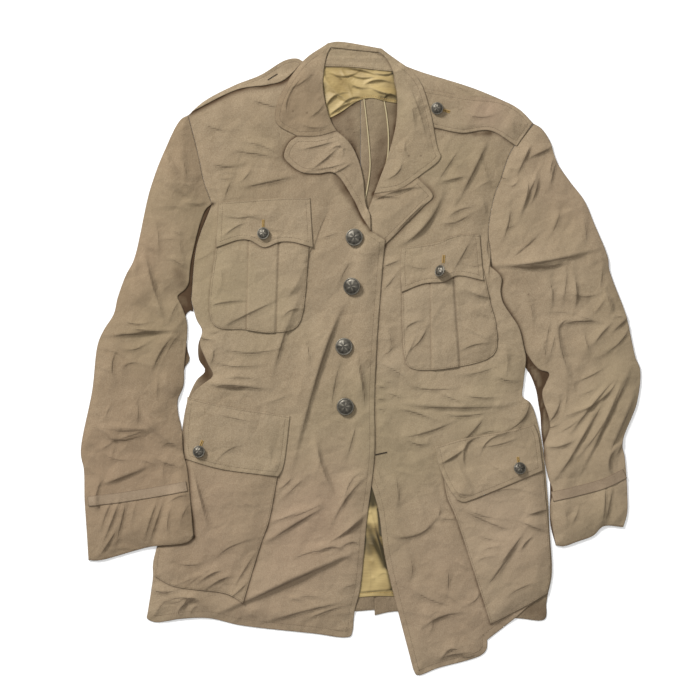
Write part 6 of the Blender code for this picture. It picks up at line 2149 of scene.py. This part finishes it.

# Stains and paler or darker places, by sheet: place, radius, how rosy and how pale; on the skirt lining
# the pale spots are painted highlights on its satin.
TINTS_AND_HIGHLIGHTS: dict[str, Table] = {
    "sleeve_left_top": ((262, 200, 60, 0.2, 0), (300, -130, 110, 0.15, 0.3)),
    "sleeve_right_top": ((-285, 150, 60, 0.2, -0.1), (-310, -150, 110, 0.2, -0.1)),
    "shoulder_strap_left": ((165, 322, 26, 0.4, 0),),
    "front_right": ((-60, -200, 80, 0.3, 0), (-150, -300, 120, 0.25, 0), (-140, 230, 120, 0.05, -0.18)),
    "front_left": ((130, -300, 120, 0.3, 0.1), (110, 0, 110, 0, 0.2)),
    "skirt_pocket_right": ((-180, -220, 120, 0.3, -0.25),),
    "skirt_pocket_left": ((190, -230, 120, 0.25, 0.25),),
    "skirt_flap_left": ((180, -140, 90, 0.15, 0.15),),
    "breast_pocket_left": ((120, 80, 90, 0, 0.15),),
    "collar": ((-80, 330, 70, 0.1, -0.5),),
    "skirt_lining": ((16, -205, 9, 0, 1.4), (20, -285, 24, 0, 0.5)),
}


@dataclass
class Studio:
    """The pale table, the soft lights and the camera over the tunic. Sizes are in metres."""

    floor: float = 9.0
    floor_glow: float = 0.22
    camera_at: tuple[float, float, float] = (-0.0143, 0.011, 2.155)
    lens: float = 85.0
    key_at: tuple[float, float, float] = (-2.5, 3.0, 2.2)
    key_size: float = 1.0
    key_power: float = 240.0
    fill_at: tuple[float, float, float] = (0.2, 0.1, 2.9)
    fill_size: float = 2.4
    fill_power: float = 22.0
    sky: float = 0.3

    def floor_piece(self) -> None:
        """Lay the floor."""
        mesh = bmesh.new()
        bmesh.ops.create_grid(mesh, x_segments=1, y_segments=1, size=self.floor / 2)
        bmesh.ops.translate(mesh, vec=(0.0, 0.0, -0.0003), verts=mesh.verts[:])
        t = Tree("floor_white")
        white = (0.94, 0.94, 0.94, 1.0)
        item = put_on_table(mesh, "floor", [t.finish(
            Base_Color=white, Roughness=0.9, Specular_IOR_Level=0.1, Emission_Color=white,
            Emission_Strength=self.floor_glow)])

    def lamp(self, name: str, place: tuple[float, float, float], size: float,
             power: float) -> None:
        """Hang a square soft lamp that faces the tunic.

        Args:
            name: its name.
            place: where it hangs.
            size: its side.
            power: its power in watts.
        """
        lamp = bpy.data.lights.new(name, "AREA")
        lamp.shape, lamp.size, lamp.energy = "SQUARE", size, power
        item = bpy.data.objects.new(name, lamp)
        item.location = place
        item.rotation_euler = (-Vector(place)).to_track_quat("-Z", "Y").to_euler()
        bpy.context.scene.collection.objects.link(item)

    def build(self) -> None:
        """Set the floor, the lights, the sky and the camera."""
        scene = bpy.context.scene
        self.floor_piece()
        self.lamp("key", self.key_at, self.key_size, self.key_power)
        self.lamp("fill", self.fill_at, self.fill_size, self.fill_power)
        world = bpy.data.worlds.new("sky")
        world.use_nodes = True
        background = world.node_tree.nodes["Background"]
        background.inputs["Color"].default_value = (1.0, 1.0, 1.0, 1.0)
        background.inputs["Strength"].default_value = self.sky
        scene.world = world
        lens = bpy.data.cameras.new("camera")
        lens.lens, lens.sensor_width, lens.clip_end = self.lens, 36.0, 20.0
        camera = bpy.data.objects.new("camera", lens)
        camera.location = self.camera_at
        scene.collection.objects.link(camera)
        scene.camera = camera
        scene.view_settings.view_transform = "Standard"


def main() -> None:
    """Build the tunic from the table up, light it and log its triangle counts."""
    logging.basicConfig(level=logging.INFO, format="%(name)s %(message)s")
    shop = Shop()
    for part in (
        Sleeve("left", grain=113.0, tone=0.02, rose=0.05),
        Back(),
        Lining(),
        Fronts(),
        Pockets(),
        # The right sleeve's tone is set far lower, as painted shade for the dimmer light on that side.
        Sleeve("right", grain=73.0, tone=-0.34, rose=0.05, pit=" -side_right_arm"),
        Neck(),
        Buttonholes(),
        Buttons(),
    ):
        part.build(shop)
        LOG.info("%s built", type(part).__name__)
    Studio().build()
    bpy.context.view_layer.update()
    counts = {name: len(item.data.loop_triangles) for name, item in shop.pieces.items()}
    LOG.info("%d triangles, at most %d a piece", sum(counts.values()), max(counts.values()))


if __name__ == "__main__":
    main()
